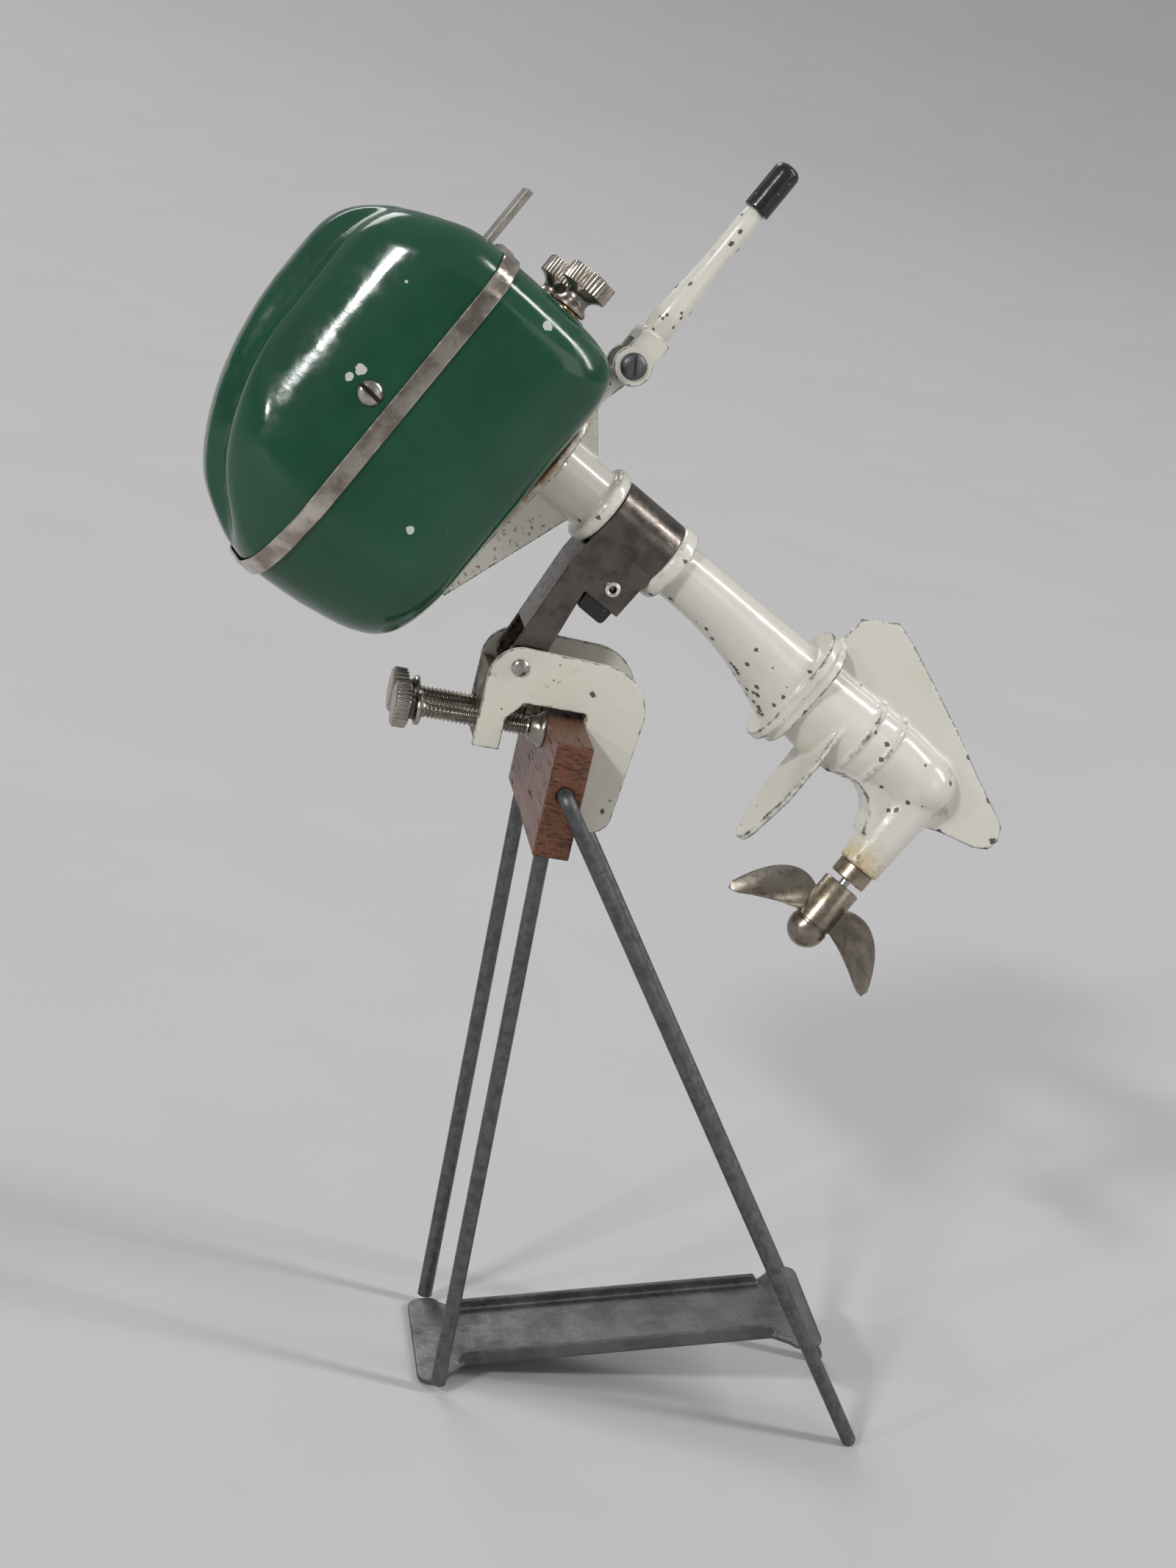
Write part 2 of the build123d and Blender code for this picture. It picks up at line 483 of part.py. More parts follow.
def make_upper_cowl():
    """Green upper half: a hollow dome with side screw holes and the lever's slot."""
    outside = cowl_body(UPPER_SECTIONS, 0, 0, 0)
    inside = cowl_body(UPPER_SECTIONS, COWL_WALL, -1.0, -COWL_WALL)
    shell = hollow_with_panel(outside, inside, UPPER_SECTIONS[0][0], UPPER_SECTIONS[-1][0])
    shell -= box(14, 22, -4.9, 4.9, LEVER_Z - LEVER_SHEET / 2 - 0.3, LEVER_Z + LEVER_SHEET / 2 + 0.3)
    shell -= along_y(0.95, -25, 25, SIDE_SCREW_X, SIDE_SCREW_Z)
    for side in (1, -1):
        shell -= along_y(2.0, side * SIDE_SCREW_SEAT, side * 25, SIDE_SCREW_X, SIDE_SCREW_Z)
    return in_motor(shell)


def make_trim_band():
    """Bright strip wrapped round the joint between the cowl halves."""
    section = LOWER_SECTIONS[-1]
    ring = cowl_section(section, -BAND_SHEET - BAND_FIT) - cowl_section(section, -BAND_FIT)
    return in_motor(Pos(0, 0, -BAND_HALF) * extrude(ring, 2 * BAND_HALF))


def make_cowl_side_screws():
    """A slotted screw through each side of the upper cowl."""
    seat = SIDE_SCREW_SEAT
    screw = along_y(1.9, seat, seat + 1.1, SIDE_SCREW_X, SIDE_SCREW_Z)
    screw -= box(SIDE_SCREW_X - 0.3, SIDE_SCREW_X + 0.3, seat + 0.6, seat + 2,
                 SIDE_SCREW_Z - 3, SIDE_SCREW_Z + 3)
    screw += along_y(0.9, seat - 3.2, seat, SIDE_SCREW_X, SIDE_SCREW_Z)
    return in_motor(screw + mirror(screw, Plane.XZ))


def make_cowl_bridge():
    """Strip across the top of the electric motor, with a tapped tab at each end for the side screws."""
    z0 = CAP_TOP + 2.6
    bridge = box(-13.6, 3.6, -16.8, 16.8, z0, z0 + 0.9)
    for side in (1, -1):
        bridge += box(SIDE_SCREW_X - 2.3, SIDE_SCREW_X + 2.3, side * 16.4 - 0.4, side * 16.4 + 0.4, z0, z0 + 4.0)
    bridge -= along_y(0.9, -20, 20, SIDE_SCREW_X, SIDE_SCREW_Z)
    bridge -= along_z(1.8, 40, 50)
    for x in (-6.0, 2.4):
        bridge += along_z(1.2, CAP_TOP, z0, x, 9.0) + along_z(1.2, CAP_TOP, z0, x, -9.0)
    return in_motor(bridge)


def make_chassis_screws():
    """Two screws up through the chassis plate into the motor can."""
    screws = Part()
    for side in (1, -1):
        screws += along_z(1.55, PLATE_BOTTOM - 0.9, PLATE_BOTTOM, 0, side * CHASSIS_SCREW_Y)
        screws += along_z(0.8, PLATE_BOTTOM, CAN_BOTTOM + 0.8, 0, side * CHASSIS_SCREW_Y)
    return in_motor(screws)


# ---- terminals and switch ---------------------------------------------------------------------
def make_terminal_studs():
    """Two threaded studs with heads inside the cowl's front."""
    studs = Part()
    for side in (1, -1):
        y = side * TERMINAL_Y
        studs += along_x(STUD_R, TERMINAL_SEAT - COWL_WALL, TERMINAL_SEAT + 7.6, y, TERMINAL_Z)
        studs += along_x(2.4, TERMINAL_SEAT - 1.8, TERMINAL_SEAT - COWL_WALL, y, TERMINAL_Z)
    return in_motor(studs)


def make_terminal_washers():
    """Red fibre washers that insulate the nuts from the cowl."""
    washers = Part()
    for side in (1, -1):
        washer = along_x(3.3, TERMINAL_SEAT, TERMINAL_SEAT + 0.6, side * TERMINAL_Y, TERMINAL_Z)
        washer -= along_x(STUD_R, TERMINAL_SEAT - 1, TERMINAL_SEAT + 2, side * TERMINAL_Y, TERMINAL_Z)
        washers += washer
    return in_motor(washers)


def make_terminal_hex_nuts():
    """Hexagon nuts that clamp the studs to the cowl."""
    nuts = Part()
    for side in (1, -1):
        hexagon = Plane(origin=(TERMINAL_SEAT + 0.6, side * TERMINAL_Y, TERMINAL_Z), z_dir=(1, 0, 0))
        nut = extrude(hexagon * RegularPolygon(3.35, 6), 1.4)
        nut -= along_x(STUD_R, TERMINAL_SEAT, TERMINAL_SEAT + 3, side * TERMINAL_Y, TERMINAL_Z)
        nuts += nut
    return in_motor(nuts)


def make_thumb_nut(side):
    """Knurled nut with a waisted neck, which nips the battery lead."""
    y = side * TERMINAL_Y
    x0 = TERMINAL_SEAT + 2.3
    nut = along_x(2.7, x0, x0 + 0.7, y, TERMINAL_Z)
    nut += along_x(2.2, x0 + 0.7, x0 + 3.3, y, TERMINAL_Z)
    nut += along_x(3.75, x0 + 3.3, x0 + 6.3, y, TERMINAL_Z)
    nut -= along_x(STUD_R + RUN, x0 - 1, x0 + 5.5, y, TERMINAL_Z)
    return in_motor(nut)


def make_switch_base_plate():
    """Fibre plate on the motor's cap that carries the lever and its contacts."""
    plate = box(4.2, 12.2, -6, 6, CAP_TOP, LEVER_Z - LEVER_SHEET / 2 - 0.05)
    plate -= along_z(0.7, 40, 50, LEVER_PIVOT_X, 0)
    return in_motor(plate)


def make_switch_pivot_rivet():
    """Rivet that the lever turns on."""
    top = LEVER_Z + LEVER_SHEET / 2 + 0.05
    rivet = along_z(0.7, CAP_TOP, top, LEVER_PIVOT_X, 0) + along_z(1.4, top, top + 0.4, LEVER_PIVOT_X, 0)
    return in_motor(rivet)


def make_switch_lever():
    """Flat strip that swings sideways in the cowl's slot."""
    half = 2.0
    lever = box(LEVER_PIVOT_X, LEVER_TIP_X, -half, half, LEVER_Z - LEVER_SHEET / 2, LEVER_Z + LEVER_SHEET / 2)
    lever += along_z(half + 0.4, LEVER_Z - LEVER_SHEET / 2, LEVER_Z + LEVER_SHEET / 2, LEVER_PIVOT_X, 0)
    lever -= along_z(0.7 + RUN, 40, 50, LEVER_PIVOT_X, 0)
    return in_motor(lever)


# ---- tiller -----------------------------------------------------------------------------------
def make_tiller_handle():
    """Forked end on the lug, then a shaft that swells and tapers to the grip."""
    ear_in, ear_out = 1.5 + RUN, 2.9
    handle = Part()
    for side in (1, -1):
        ear = along_y(TILLER_EAR_R, ear_in, ear_out, TILLER_X, TILLER_Z)
        ear += box(TILLER_X, TILLER_X + 5.5, ear_in, ear_out, TILLER_Z - 2.4, TILLER_Z + 2.4)
        handle += ear if side > 0 else mirror(ear, Plane.XZ)
    handle += box(TILLER_X + 3.4, TILLER_X + 5.6, -ear_out, ear_out, TILLER_Z - 2.4, TILLER_Z + 2.4)
    radii = ((5.2, 1.9), (7.6, 2.3), (14.0, 2.05), (22.0, 1.7), (GRIP_X - TILLER_X, 1.45))
    sections = []
    for reach, radius in radii:
        plane = Plane(origin=(TILLER_X + reach, 0, TILLER_Z), z_dir=(1, 0, 0))
        sections.append(plane * Circle(radius))
    handle += loft(sections)
    handle += along_x(1.1, GRIP_X - 0.5, TILLER_TIP_X - 2.0, 0, TILLER_Z)
    handle -= along_y(0.8, -5, 5, TILLER_X, TILLER_Z)
    handle -= along_y(0.8 + RUN, -5, 5, TILLER_X, TILLER_Z)
    return in_motor(handle)


def make_tiller_grip():
    """Black sleeve on the tiller's end, rounded at the tip."""
    grip = along_x(2.1, GRIP_X, TILLER_TIP_X, 0, TILLER_Z)
    grip = fillet(grip.edges().group_by(Axis.X)[-1], 1.4)
    grip -= along_x(1.1, GRIP_X - 1, TILLER_TIP_X - 2.0, 0, TILLER_Z)
    return in_motor(grip)


def make_tiller_pivot_screw():
    """Pan-head screw through the fork and the lug."""
    screw = along_y(0.8, -2.95, 3.4, TILLER_X, TILLER_Z)
    screw += along_y(2.05, -3.95, -2.95, TILLER_X, TILLER_Z)
    screw -= box(TILLER_X - 3, TILLER_X + 3, -5, -3.5, TILLER_Z - 0.25, TILLER_Z + 0.25)
    return in_motor(screw)


# ---- electric motor inside the cowl -----------------------------------------------------------
def make_motor_can():
    """Steel can that carries the magnets, on two feet tapped for the chassis screws."""
    can = along_z(CAN_R, CAN_BOTTOM, CAN_TOP) - along_z(CAN_R - 1.0, CAN_BOTTOM + 1.0, CAN_TOP + 1)
    can -= along_z(2.0, CAN_BOTTOM - 1, CAN_BOTTOM + 2)
    for side in (1, -1):
        can += along_z(1.8, PLATE_TOP + COWL_WALL + 0.2, CAN_BOTTOM, 0, side * CHASSIS_SCREW_Y)
        can -= along_z(0.8, PLATE_TOP, CAN_BOTTOM + 1.2, 0, side * CHASSIS_SCREW_Y)
    return in_motor(can)


def make_motor_end_cap():
    """Moulded cap that closes the can and holds the brushes and the upper bearing."""
    cap = along_z(CAN_R, CAN_TOP, CAP_TOP) - along_z(1.9, CAN_TOP - 1, CAP_TOP + 1)
    return in_motor(cap)


def make_motor_magnets():
    """Two curved magnets inside the can."""
    ring = along_z(CAN_R - 1.0, CAN_BOTTOM + 3.5, CAN_TOP - 5.5) - along_z(8.6, CAN_BOTTOM, CAN_TOP)
    ring -= box(-14, 14, -2.6, 2.6, 20, 45)
    return in_motor(ring)


def make_brush_holders():
    """Two brass boxes that hang from the cap beside the commutator."""
    holders = Part()
    for side in (1, -1):
        holder = box(-1.9, 1.9, 4.4, 8.4, CAN_TOP - 4.6, CAN_TOP)
        holder -= box(-1.2, 1.2, 4.0, 7.6, CAN_TOP - 4.0, CAN_TOP - 1.4)
        holders += holder if side > 0 else mirror(holder, Plane.XZ)
    return in_motor(holders)


def make_brushes():
    """Carbon blocks that bear on the commutator."""
    brushes = Part()
    for side in (1, -1):
        brush = box(-1.1, 1.1, 3.2, 7.4, CAN_TOP - 3.9, CAN_TOP - 1.5) - along_z(3.05, 30, 50)
        brushes += brush if side > 0 else mirror(brush, Plane.XZ)
    return in_motor(brushes)


def make_motor_bearings():
    """Sintered bushes at the two ends of the armature shaft."""
    upper = along_z(1.9, CAN_TOP, CAP_TOP + 0.4)
    lower = along_z(2.0, CAN_BOTTOM, CAN_BOTTOM + 1.6)
    both = upper + lower - along_z(SHAFT_R + RUN, 10, 60)
    return in_motor(both)


def make_armature_core():
    """Three-pole laminated core."""
    core = along_z(8.0, CAN_BOTTOM + 4.5, CAN_TOP - 7.5)
    for i in range(3):
        slot = box(3.2, 9.0, -1.0, 1.0, 20, 45) + Pos(5.2, 0, 32) * Cylinder(1.9, 30)
        core -= Rot(0, 0, 60 + 120 * i) * slot
    core -= along_z(SHAFT_R, 10, 60)
    return in_motor(core)


def make_armature_windings():
    """A coil of copper wire round the gap beside each pole."""
    coils = Part()
    for i in range(3):
        coils += Rot(0, 0, 60 + 120 * i) * along_z(1.75, CAN_BOTTOM + 3.2, CAN_TOP - 6.0, 5.2)
    return in_motor(coils)


def make_commutator():
    """Three copper segments on a sleeve."""
    drum = along_z(3.0, CAN_TOP - 4.4, CAN_TOP - 0.9) - along_z(SHAFT_R, 10, 60)
    for i in range(3):
        drum -= Rot(0, 0, 120 * i) * box(2.4, 4, -0.15, 0.15, CAN_TOP - 5, CAN_TOP)
    return in_motor(drum)


def make_armature_shaft():
    """Steel shaft of the electric motor."""
    return in_motor(along_z(SHAFT_R, 15.0, CAP_TOP + 1.2))


def make_shaft_coupling():
    """Sleeve that joins the armature shaft to the drive shaft."""
    return in_motor(along_z(1.6, 12.0, 17.8) - along_z(SHAFT_R, 10, 20))


# ---- drive line -------------------------------------------------------------------------------
def make_drive_shaft():
    """Long shaft down the middle of the leg."""
    return in_motor(along_z(SHAFT_R, DRIVE_SHAFT_BOTTOM, DRIVE_SHAFT_TOP))


def make_lower_shaft_bush():
    """Bush near the foot of the leg."""
    return in_motor(along_z(BORE_R, -49.5, -46.5) - along_z(SHAFT_R + RUN, -60, -40))


def make_flex_drive_spring():
    """Close-wound spring that carries the turning round the elbow, as a curved tube."""
    spring = elbow_sweep(FLEX_TOP, FLEX_REAR, SPRING_R)
    spring -= along_z(SHAFT_R + RUN, DRIVE_SHAFT_BOTTOM - 0.2, -50)
    spring -= along_x(SHAFT_R + RUN, FLEX_REAR - 1, PROP_SHAFT_FRONT + 0.2, 0, SHAFT_Z)
    return in_motor(spring)


def make_propeller_shaft():
    """Short shaft from the flexible drive to the propeller."""
    return in_motor(along_x(SHAFT_R, PROP_SHAFT_REAR, PROP_SHAFT_FRONT, 0, SHAFT_Z))


def make_propeller_bush():
    """Bush in the mouth of the snout."""
    bush = along_x(BORE_R, SNOUT_X, SNOUT_X + 4.0, 0, SHAFT_Z)
    return in_motor(bush - along_x(SHAFT_R + RUN, -40, 0, 0, SHAFT_Z))


def make_propeller_bearing_collar():
    """Plain collar pressed against the end of the snout."""
    collar = along_x(3.05, SNOUT_X - 2.6, SNOUT_X, 0, SHAFT_Z)
    return in_motor(collar - along_x(SHAFT_R + RUN, -40, 0, 0, SHAFT_Z))



def make_propeller_hub():
    """Round-nosed hub."""
    hub = along_x(HUB_R, HUB_X1 + HUB_R, HUB_X0, 0, SHAFT_Z)
    hub += Pos(HUB_X1 + HUB_R, 0, SHAFT_Z) * Sphere(HUB_R)
    hub -= along_x(SHAFT_R, PROP_SHAFT_REAR, 0, 0, SHAFT_Z)
    hub -= along_z(0.6, SHAFT_Z, SHAFT_Z + 5, -22.6)
    return in_motor(hub)


def make_hub_set_screw():
    """Grub screw that locks the hub on its shaft."""
    return in_motor(along_z(0.6, SHAFT_Z + SHAFT_R, SHAFT_Z + HUB_R - 0.2, -22.6))


def propeller_blade():
    """One broad skewed blade, drawn up from the shaft and twisted from root to tip."""
    sections = []
    for radius, chord, pitch, middle, skew, thick in BLADE_STATIONS:
        section = Rot(0, 0, 90 + pitch) * Pos(skew, 0) * Ellipse(chord / 2, thick / 2)
        sections.append(Pos(middle, 0, radius) * section)
    return loft(sections)


def make_propeller_blades():
    """Two blades soldered to the hub."""
    blade = propeller_blade()
    blades = Part()
    for turn in (BLADE_TURN, BLADE_TURN + 180):
        blades += Pos(0, 0, SHAFT_Z) * Rot(turn, 0, 0) * blade
    blades -= along_x(HUB_R, -40, 0, 0, SHAFT_Z)
    blades -= Pos(HUB_X1 + HUB_R, 0, SHAFT_Z) * Sphere(HUB_R)
    return in_motor(blades)


# ---- internal leads ---------------------------------------------------------------------------
def make_lead_wire(side):
    """Insulated lead from a terminal stud up and over the motor's cap."""
    y = side * TERMINAL_Y
    stud_back = TERMINAL_SEAT - 1.8
    path = FilletPolyline((stud_back, y, TERMINAL_Z), (stud_back - 2.6, y, TERMINAL_Z),
                          (stud_back - 2.6, y, CAP_TOP + 1.0), (7.6, side * 9.4, CAP_TOP + 0.6),
                          radius=1.2)
    start = Plane(origin=path @ 0, z_dir=path % 0)
    return in_motor(sweep(start * Circle(0.5), path=path))


# ---- assembly ---------------------------------------------------------------------------------
nodes = {}
left_near, left_far, cross_wire = make_left_leg(-1), make_left_leg(1), make_right_leg_wire()
nodes["base_tray"] = make_base_tray()
nodes["left_leg_near"] = left_near
nodes["left_leg_far"] = left_far
nodes["right_leg_wire"] = cross_wire
nodes["transom_block"] = make_transom_block((left_near, left_far))
nodes["clamp_bracket"] = make_clamp_bracket()
nodes["clamp_screw_plate"] = make_clamp_screw_plate()
nodes["tilt_rivet"] = make_tilt_rivet()
for name, side in (("near", -1), ("far", 1)):
    nodes[name + "_clamp_screw"] = make_clamp_screw(side)
    nodes[name + "_clamp_pad"] = make_clamp_pad(side)
    nodes[name + "_thumb_nut"] = make_thumb_nut(side)
    nodes[name + "_lead_wire"] = make_lead_wire(side)
nodes["swivel_strap"] = make_swivel_strap()
nodes["strap_eyelet"] = make_strap_eyelet()
nodes["tilt_stop_pad"] = make_tilt_stop_pad()
nodes["leg_casting"] = make_leg_casting()
nodes["lower_cowl"] = make_lower_cowl()
nodes["upper_cowl"] = make_upper_cowl()
nodes["trim_band"] = make_trim_band()
nodes["cowl_side_screws"] = make_cowl_side_screws()
nodes["cowl_bridge"] = make_cowl_bridge()
nodes["chassis_screws"] = make_chassis_screws()
nodes["terminal_studs"] = make_terminal_studs()
nodes["terminal_washers"] = make_terminal_washers()
nodes["terminal_hex_nuts"] = make_terminal_hex_nuts()
nodes["switch_base_plate"] = make_switch_base_plate()
nodes["switch_pivot_rivet"] = make_switch_pivot_rivet()
nodes["switch_lever"] = make_switch_lever()
nodes["tiller_handle"] = make_tiller_handle()
nodes["tiller_grip"] = make_tiller_grip()
nodes["tiller_pivot_screw"] = make_tiller_pivot_screw()
nodes["motor_can"] = make_motor_can()
nodes["motor_end_cap"] = make_motor_end_cap()
nodes["motor_magnets"] = make_motor_magnets()
nodes["brush_holders"] = make_brush_holders()
nodes["brushes"] = make_brushes()
nodes["motor_bearings"] = make_motor_bearings()
nodes["armature_core"] = make_armature_core()
nodes["armature_windings"] = make_armature_windings()
nodes["commutator"] = make_commutator()
nodes["armature_shaft"] = make_armature_shaft()
nodes["shaft_coupling"] = make_shaft_coupling()
nodes["drive_shaft"] = make_drive_shaft()
nodes["lower_shaft_bush"] = make_lower_shaft_bush()
nodes["flex_drive_spring"] = make_flex_drive_spring()
nodes["propeller_shaft"] = make_propeller_shaft()
nodes["propeller_bush"] = make_propeller_bush()
nodes["propeller_bearing_collar"] = make_propeller_bearing_collar()
nodes["propeller_hub"] = make_propeller_hub()
nodes["hub_set_screw"] = make_hub_set_screw()
nodes["propeller_blades"] = make_propeller_blades()

for name, shape in nodes.items():
    export_step(shape, f"parts/{name}.step")
everything = Compound(children=[Compound(list(shape.solids())) for shape in nodes.values()])
size = everything.bounding_box()
print(len(nodes), "nodes; low", size.min, "high", size.max)
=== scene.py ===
"""The looks of the miniature outboard motor and its display stand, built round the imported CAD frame.

Shapes are drawn in millimetres in a local frame of the motor, the strap or the stand, and
placed in the row frame in metres. The local frames come from the record's own joints.
"""
import json
import math
import random

import bmesh
import bpy
from mathutils import Matrix, Vector


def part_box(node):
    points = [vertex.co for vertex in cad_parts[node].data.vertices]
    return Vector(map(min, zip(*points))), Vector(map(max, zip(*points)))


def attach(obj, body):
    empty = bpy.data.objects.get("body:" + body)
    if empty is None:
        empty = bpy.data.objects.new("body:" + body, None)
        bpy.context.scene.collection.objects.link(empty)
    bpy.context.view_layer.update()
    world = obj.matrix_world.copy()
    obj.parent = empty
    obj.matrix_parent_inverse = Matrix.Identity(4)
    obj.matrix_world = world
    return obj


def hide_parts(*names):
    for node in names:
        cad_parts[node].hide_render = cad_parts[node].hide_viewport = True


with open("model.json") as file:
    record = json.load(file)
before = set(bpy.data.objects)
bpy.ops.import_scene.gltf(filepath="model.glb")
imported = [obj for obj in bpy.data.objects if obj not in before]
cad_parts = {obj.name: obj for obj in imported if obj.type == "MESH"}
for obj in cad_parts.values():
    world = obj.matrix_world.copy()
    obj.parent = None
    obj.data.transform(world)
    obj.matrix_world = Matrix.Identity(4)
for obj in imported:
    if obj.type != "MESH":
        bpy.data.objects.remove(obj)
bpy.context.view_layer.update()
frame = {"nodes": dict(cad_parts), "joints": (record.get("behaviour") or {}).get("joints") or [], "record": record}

MM = 0.001
TURN = 2 * math.pi
joints = {j["name"]: j for j in frame["joints"]}


# ---- local frames -----------------------------------------------------------------------------
def local_frame(origin, x_axis, z_axis):
    """A matrix that takes millimetres in a local frame to metres in the row frame."""
    z = Vector(z_axis).normalized()
    y = z.cross(Vector(x_axis)).normalized()
    x = y.cross(z)
    turn = Matrix((x, y, z)).transposed().to_4x4()
    return Matrix.Translation(Vector(origin)) @ turn @ Matrix.Scale(MM, 4)


SLEEVE = Vector(joints["steer"]["pos_m"])
LEG_AXIS = Vector(joints["steer"]["axis"])
MOTOR = local_frame(SLEEVE, joints["propeller_spin"]["axis"], LEG_AXIS)
STRAP = local_frame(SLEEVE, Vector((0, 1, 0)).cross(LEG_AXIS), LEG_AXIS)
STAND = Matrix.Translation((SLEEVE.x, SLEEVE.y, 0)) @ Matrix.Scale(MM, 4)
ALONG_X = Matrix(((0, 0, 1, 0), (0, 1, 0, 0), (-1, 0, 0, 0), (0, 0, 0, 1)))
ALONG_Y = Matrix(((1, 0, 0, 0), (0, 0, 1, 0), (0, -1, 0, 0), (0, 0, 0, 1)))


# ---- mesh helpers -----------------------------------------------------------------------------
def make_piece(name, shells, place, body, material, replaces=(), sharp=32.0):
    """One object from closed shells, each a (points, faces) pair in local millimetres."""
    mesh = bpy.data.meshes.new(name)
    points, faces = [], []
    for shell_points, shell_faces in shells:
        start = len(points)
        points += [place @ Vector(p) for p in shell_points]
        faces += [[start + i for i in face] for face in shell_faces]
    mesh.from_pydata(points, [], faces)
    return finish_piece(mesh, name, body, material, replaces, sharp)


def finish_piece(mesh, name, body, material, replaces, sharp=32.0):
    """Outward normals, smooth shading with sharp edges kept, material and body."""
    bm = bmesh.new()
    bm.from_mesh(mesh)
    bmesh.ops.recalc_face_normals(bm, faces=bm.faces)
    bm.to_mesh(mesh)
    bm.free()
    mesh.shade_smooth()
    mesh.set_sharp_from_angle(angle=math.radians(sharp))
    mesh.materials.clear()
    mesh.materials.append(material)
    obj = bpy.data.objects.new(name, mesh)
    bpy.context.scene.collection.objects.link(obj)
    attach(obj, body)
    if replaces:
        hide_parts(*replaces)
    return obj


def rings_to_shell(rings, closed=False):
    """A closed skin over equal rings of points, capped by a fan at each end unless it's a loop."""
    count = len(rings[0])
    points = [p for ring in rings for p in ring]
    faces = []
    spans = len(rings) if closed else len(rings) - 1
    for i in range(spans):
        a, b = i * count, ((i + 1) % len(rings)) * count
        for j in range(count):
            k = (j + 1) % count
            faces.append((a + j, a + k, b + k, b + j))
    if not closed:
        for start in (0, (len(rings) - 1) * count):
            ring = points[start:start + count]
            points.append(tuple(sum(p[i] for p in ring) / count for i in range(3)))
            centre = len(points) - 1
            faces += [(start + j, start + (j + 1) % count, centre) for j in range(count)]
    return points, faces


def turned(profile, count=48, relief=None, place=Matrix.Identity(4)):
    """A turned part from (z, radius) stations; relief(angle, z) is how deep its surface is cut."""
    rings = []
    for z, radius in profile:
        ring = []
        for j in range(count):
            angle = TURN * j / count
            r = radius - (relief(angle, z) if relief else 0.0)
            ring.append(place @ Vector((r * math.cos(angle), r * math.sin(angle), z)))
        rings.append(ring)
    return rings_to_shell(rings)


def ring_shell(profile, count=64, place=Matrix.Identity(4)):
    """A ring from a closed loop of (z, radius) stations."""
    rings = []
    for z, radius in profile:
        rings.append([place @ Vector((radius * math.cos(TURN * j / count),
                                      radius * math.sin(TURN * j / count), z)) for j in range(count)])
    return rings_to_shell(rings, closed=True)


def steps(low, high, count):
    """Evenly spaced values, both ends included."""
    return [low + (high - low) * i / (count - 1) for i in range(count)]


def smoothstep(low, high, value):
    """0 below low, 1 above high, smooth between."""
    t = min(1.0, max(0.0, (value - low) / (high - low)))
    return t * t * (3 - 2 * t)


def slide_vertices(mesh, reach):
    """Shift vertices within the surface, so that an even grid doesn't upset its pointiness."""
    draw = random.Random(11).uniform
    places = []
    for v in mesh.vertices:
        step = Vector((draw(-reach, reach), draw(-reach, reach), draw(-reach, reach)))
        places.extend(v.co + step - v.normal * step.dot(v.normal))
    mesh.vertices.foreach_set("co", places)
    mesh.update()


def softened(node, place, voxel, rounds, name, body, material, keep=1.0):
    """A copy of a CAD node with its edges eased, remeshed in its own straight frame."""
    mesh = frame["nodes"][node].data.copy()
    mesh.transform(place.inverted())
    temp = bpy.data.objects.new("temporary", mesh)
    bpy.context.scene.collection.objects.link(temp)
    weld = temp.modifiers.new("weld", "WELD")
    weld.merge_threshold = 0.002
    remesh = temp.modifiers.new("remesh", "REMESH")
    remesh.mode = "VOXEL"
    remesh.voxel_size = voxel
    smooth = temp.modifiers.new("smooth", "SMOOTH")
    smooth.factor = 0.5
    smooth.iterations = rounds
    if keep < 1.0:
        fewer = temp.modifiers.new("fewer", "DECIMATE")
        fewer.ratio = keep
    evaluated = temp.evaluated_get(bpy.context.evaluated_depsgraph_get())
    result = bpy.data.meshes.new_from_object(evaluated)
    bpy.data.objects.remove(temp)
    slide_vertices(result, voxel * 0.1)
    result.name = name
    result.transform(place)
    return finish_piece(result, name, body, material, (node,), sharp=55.0)


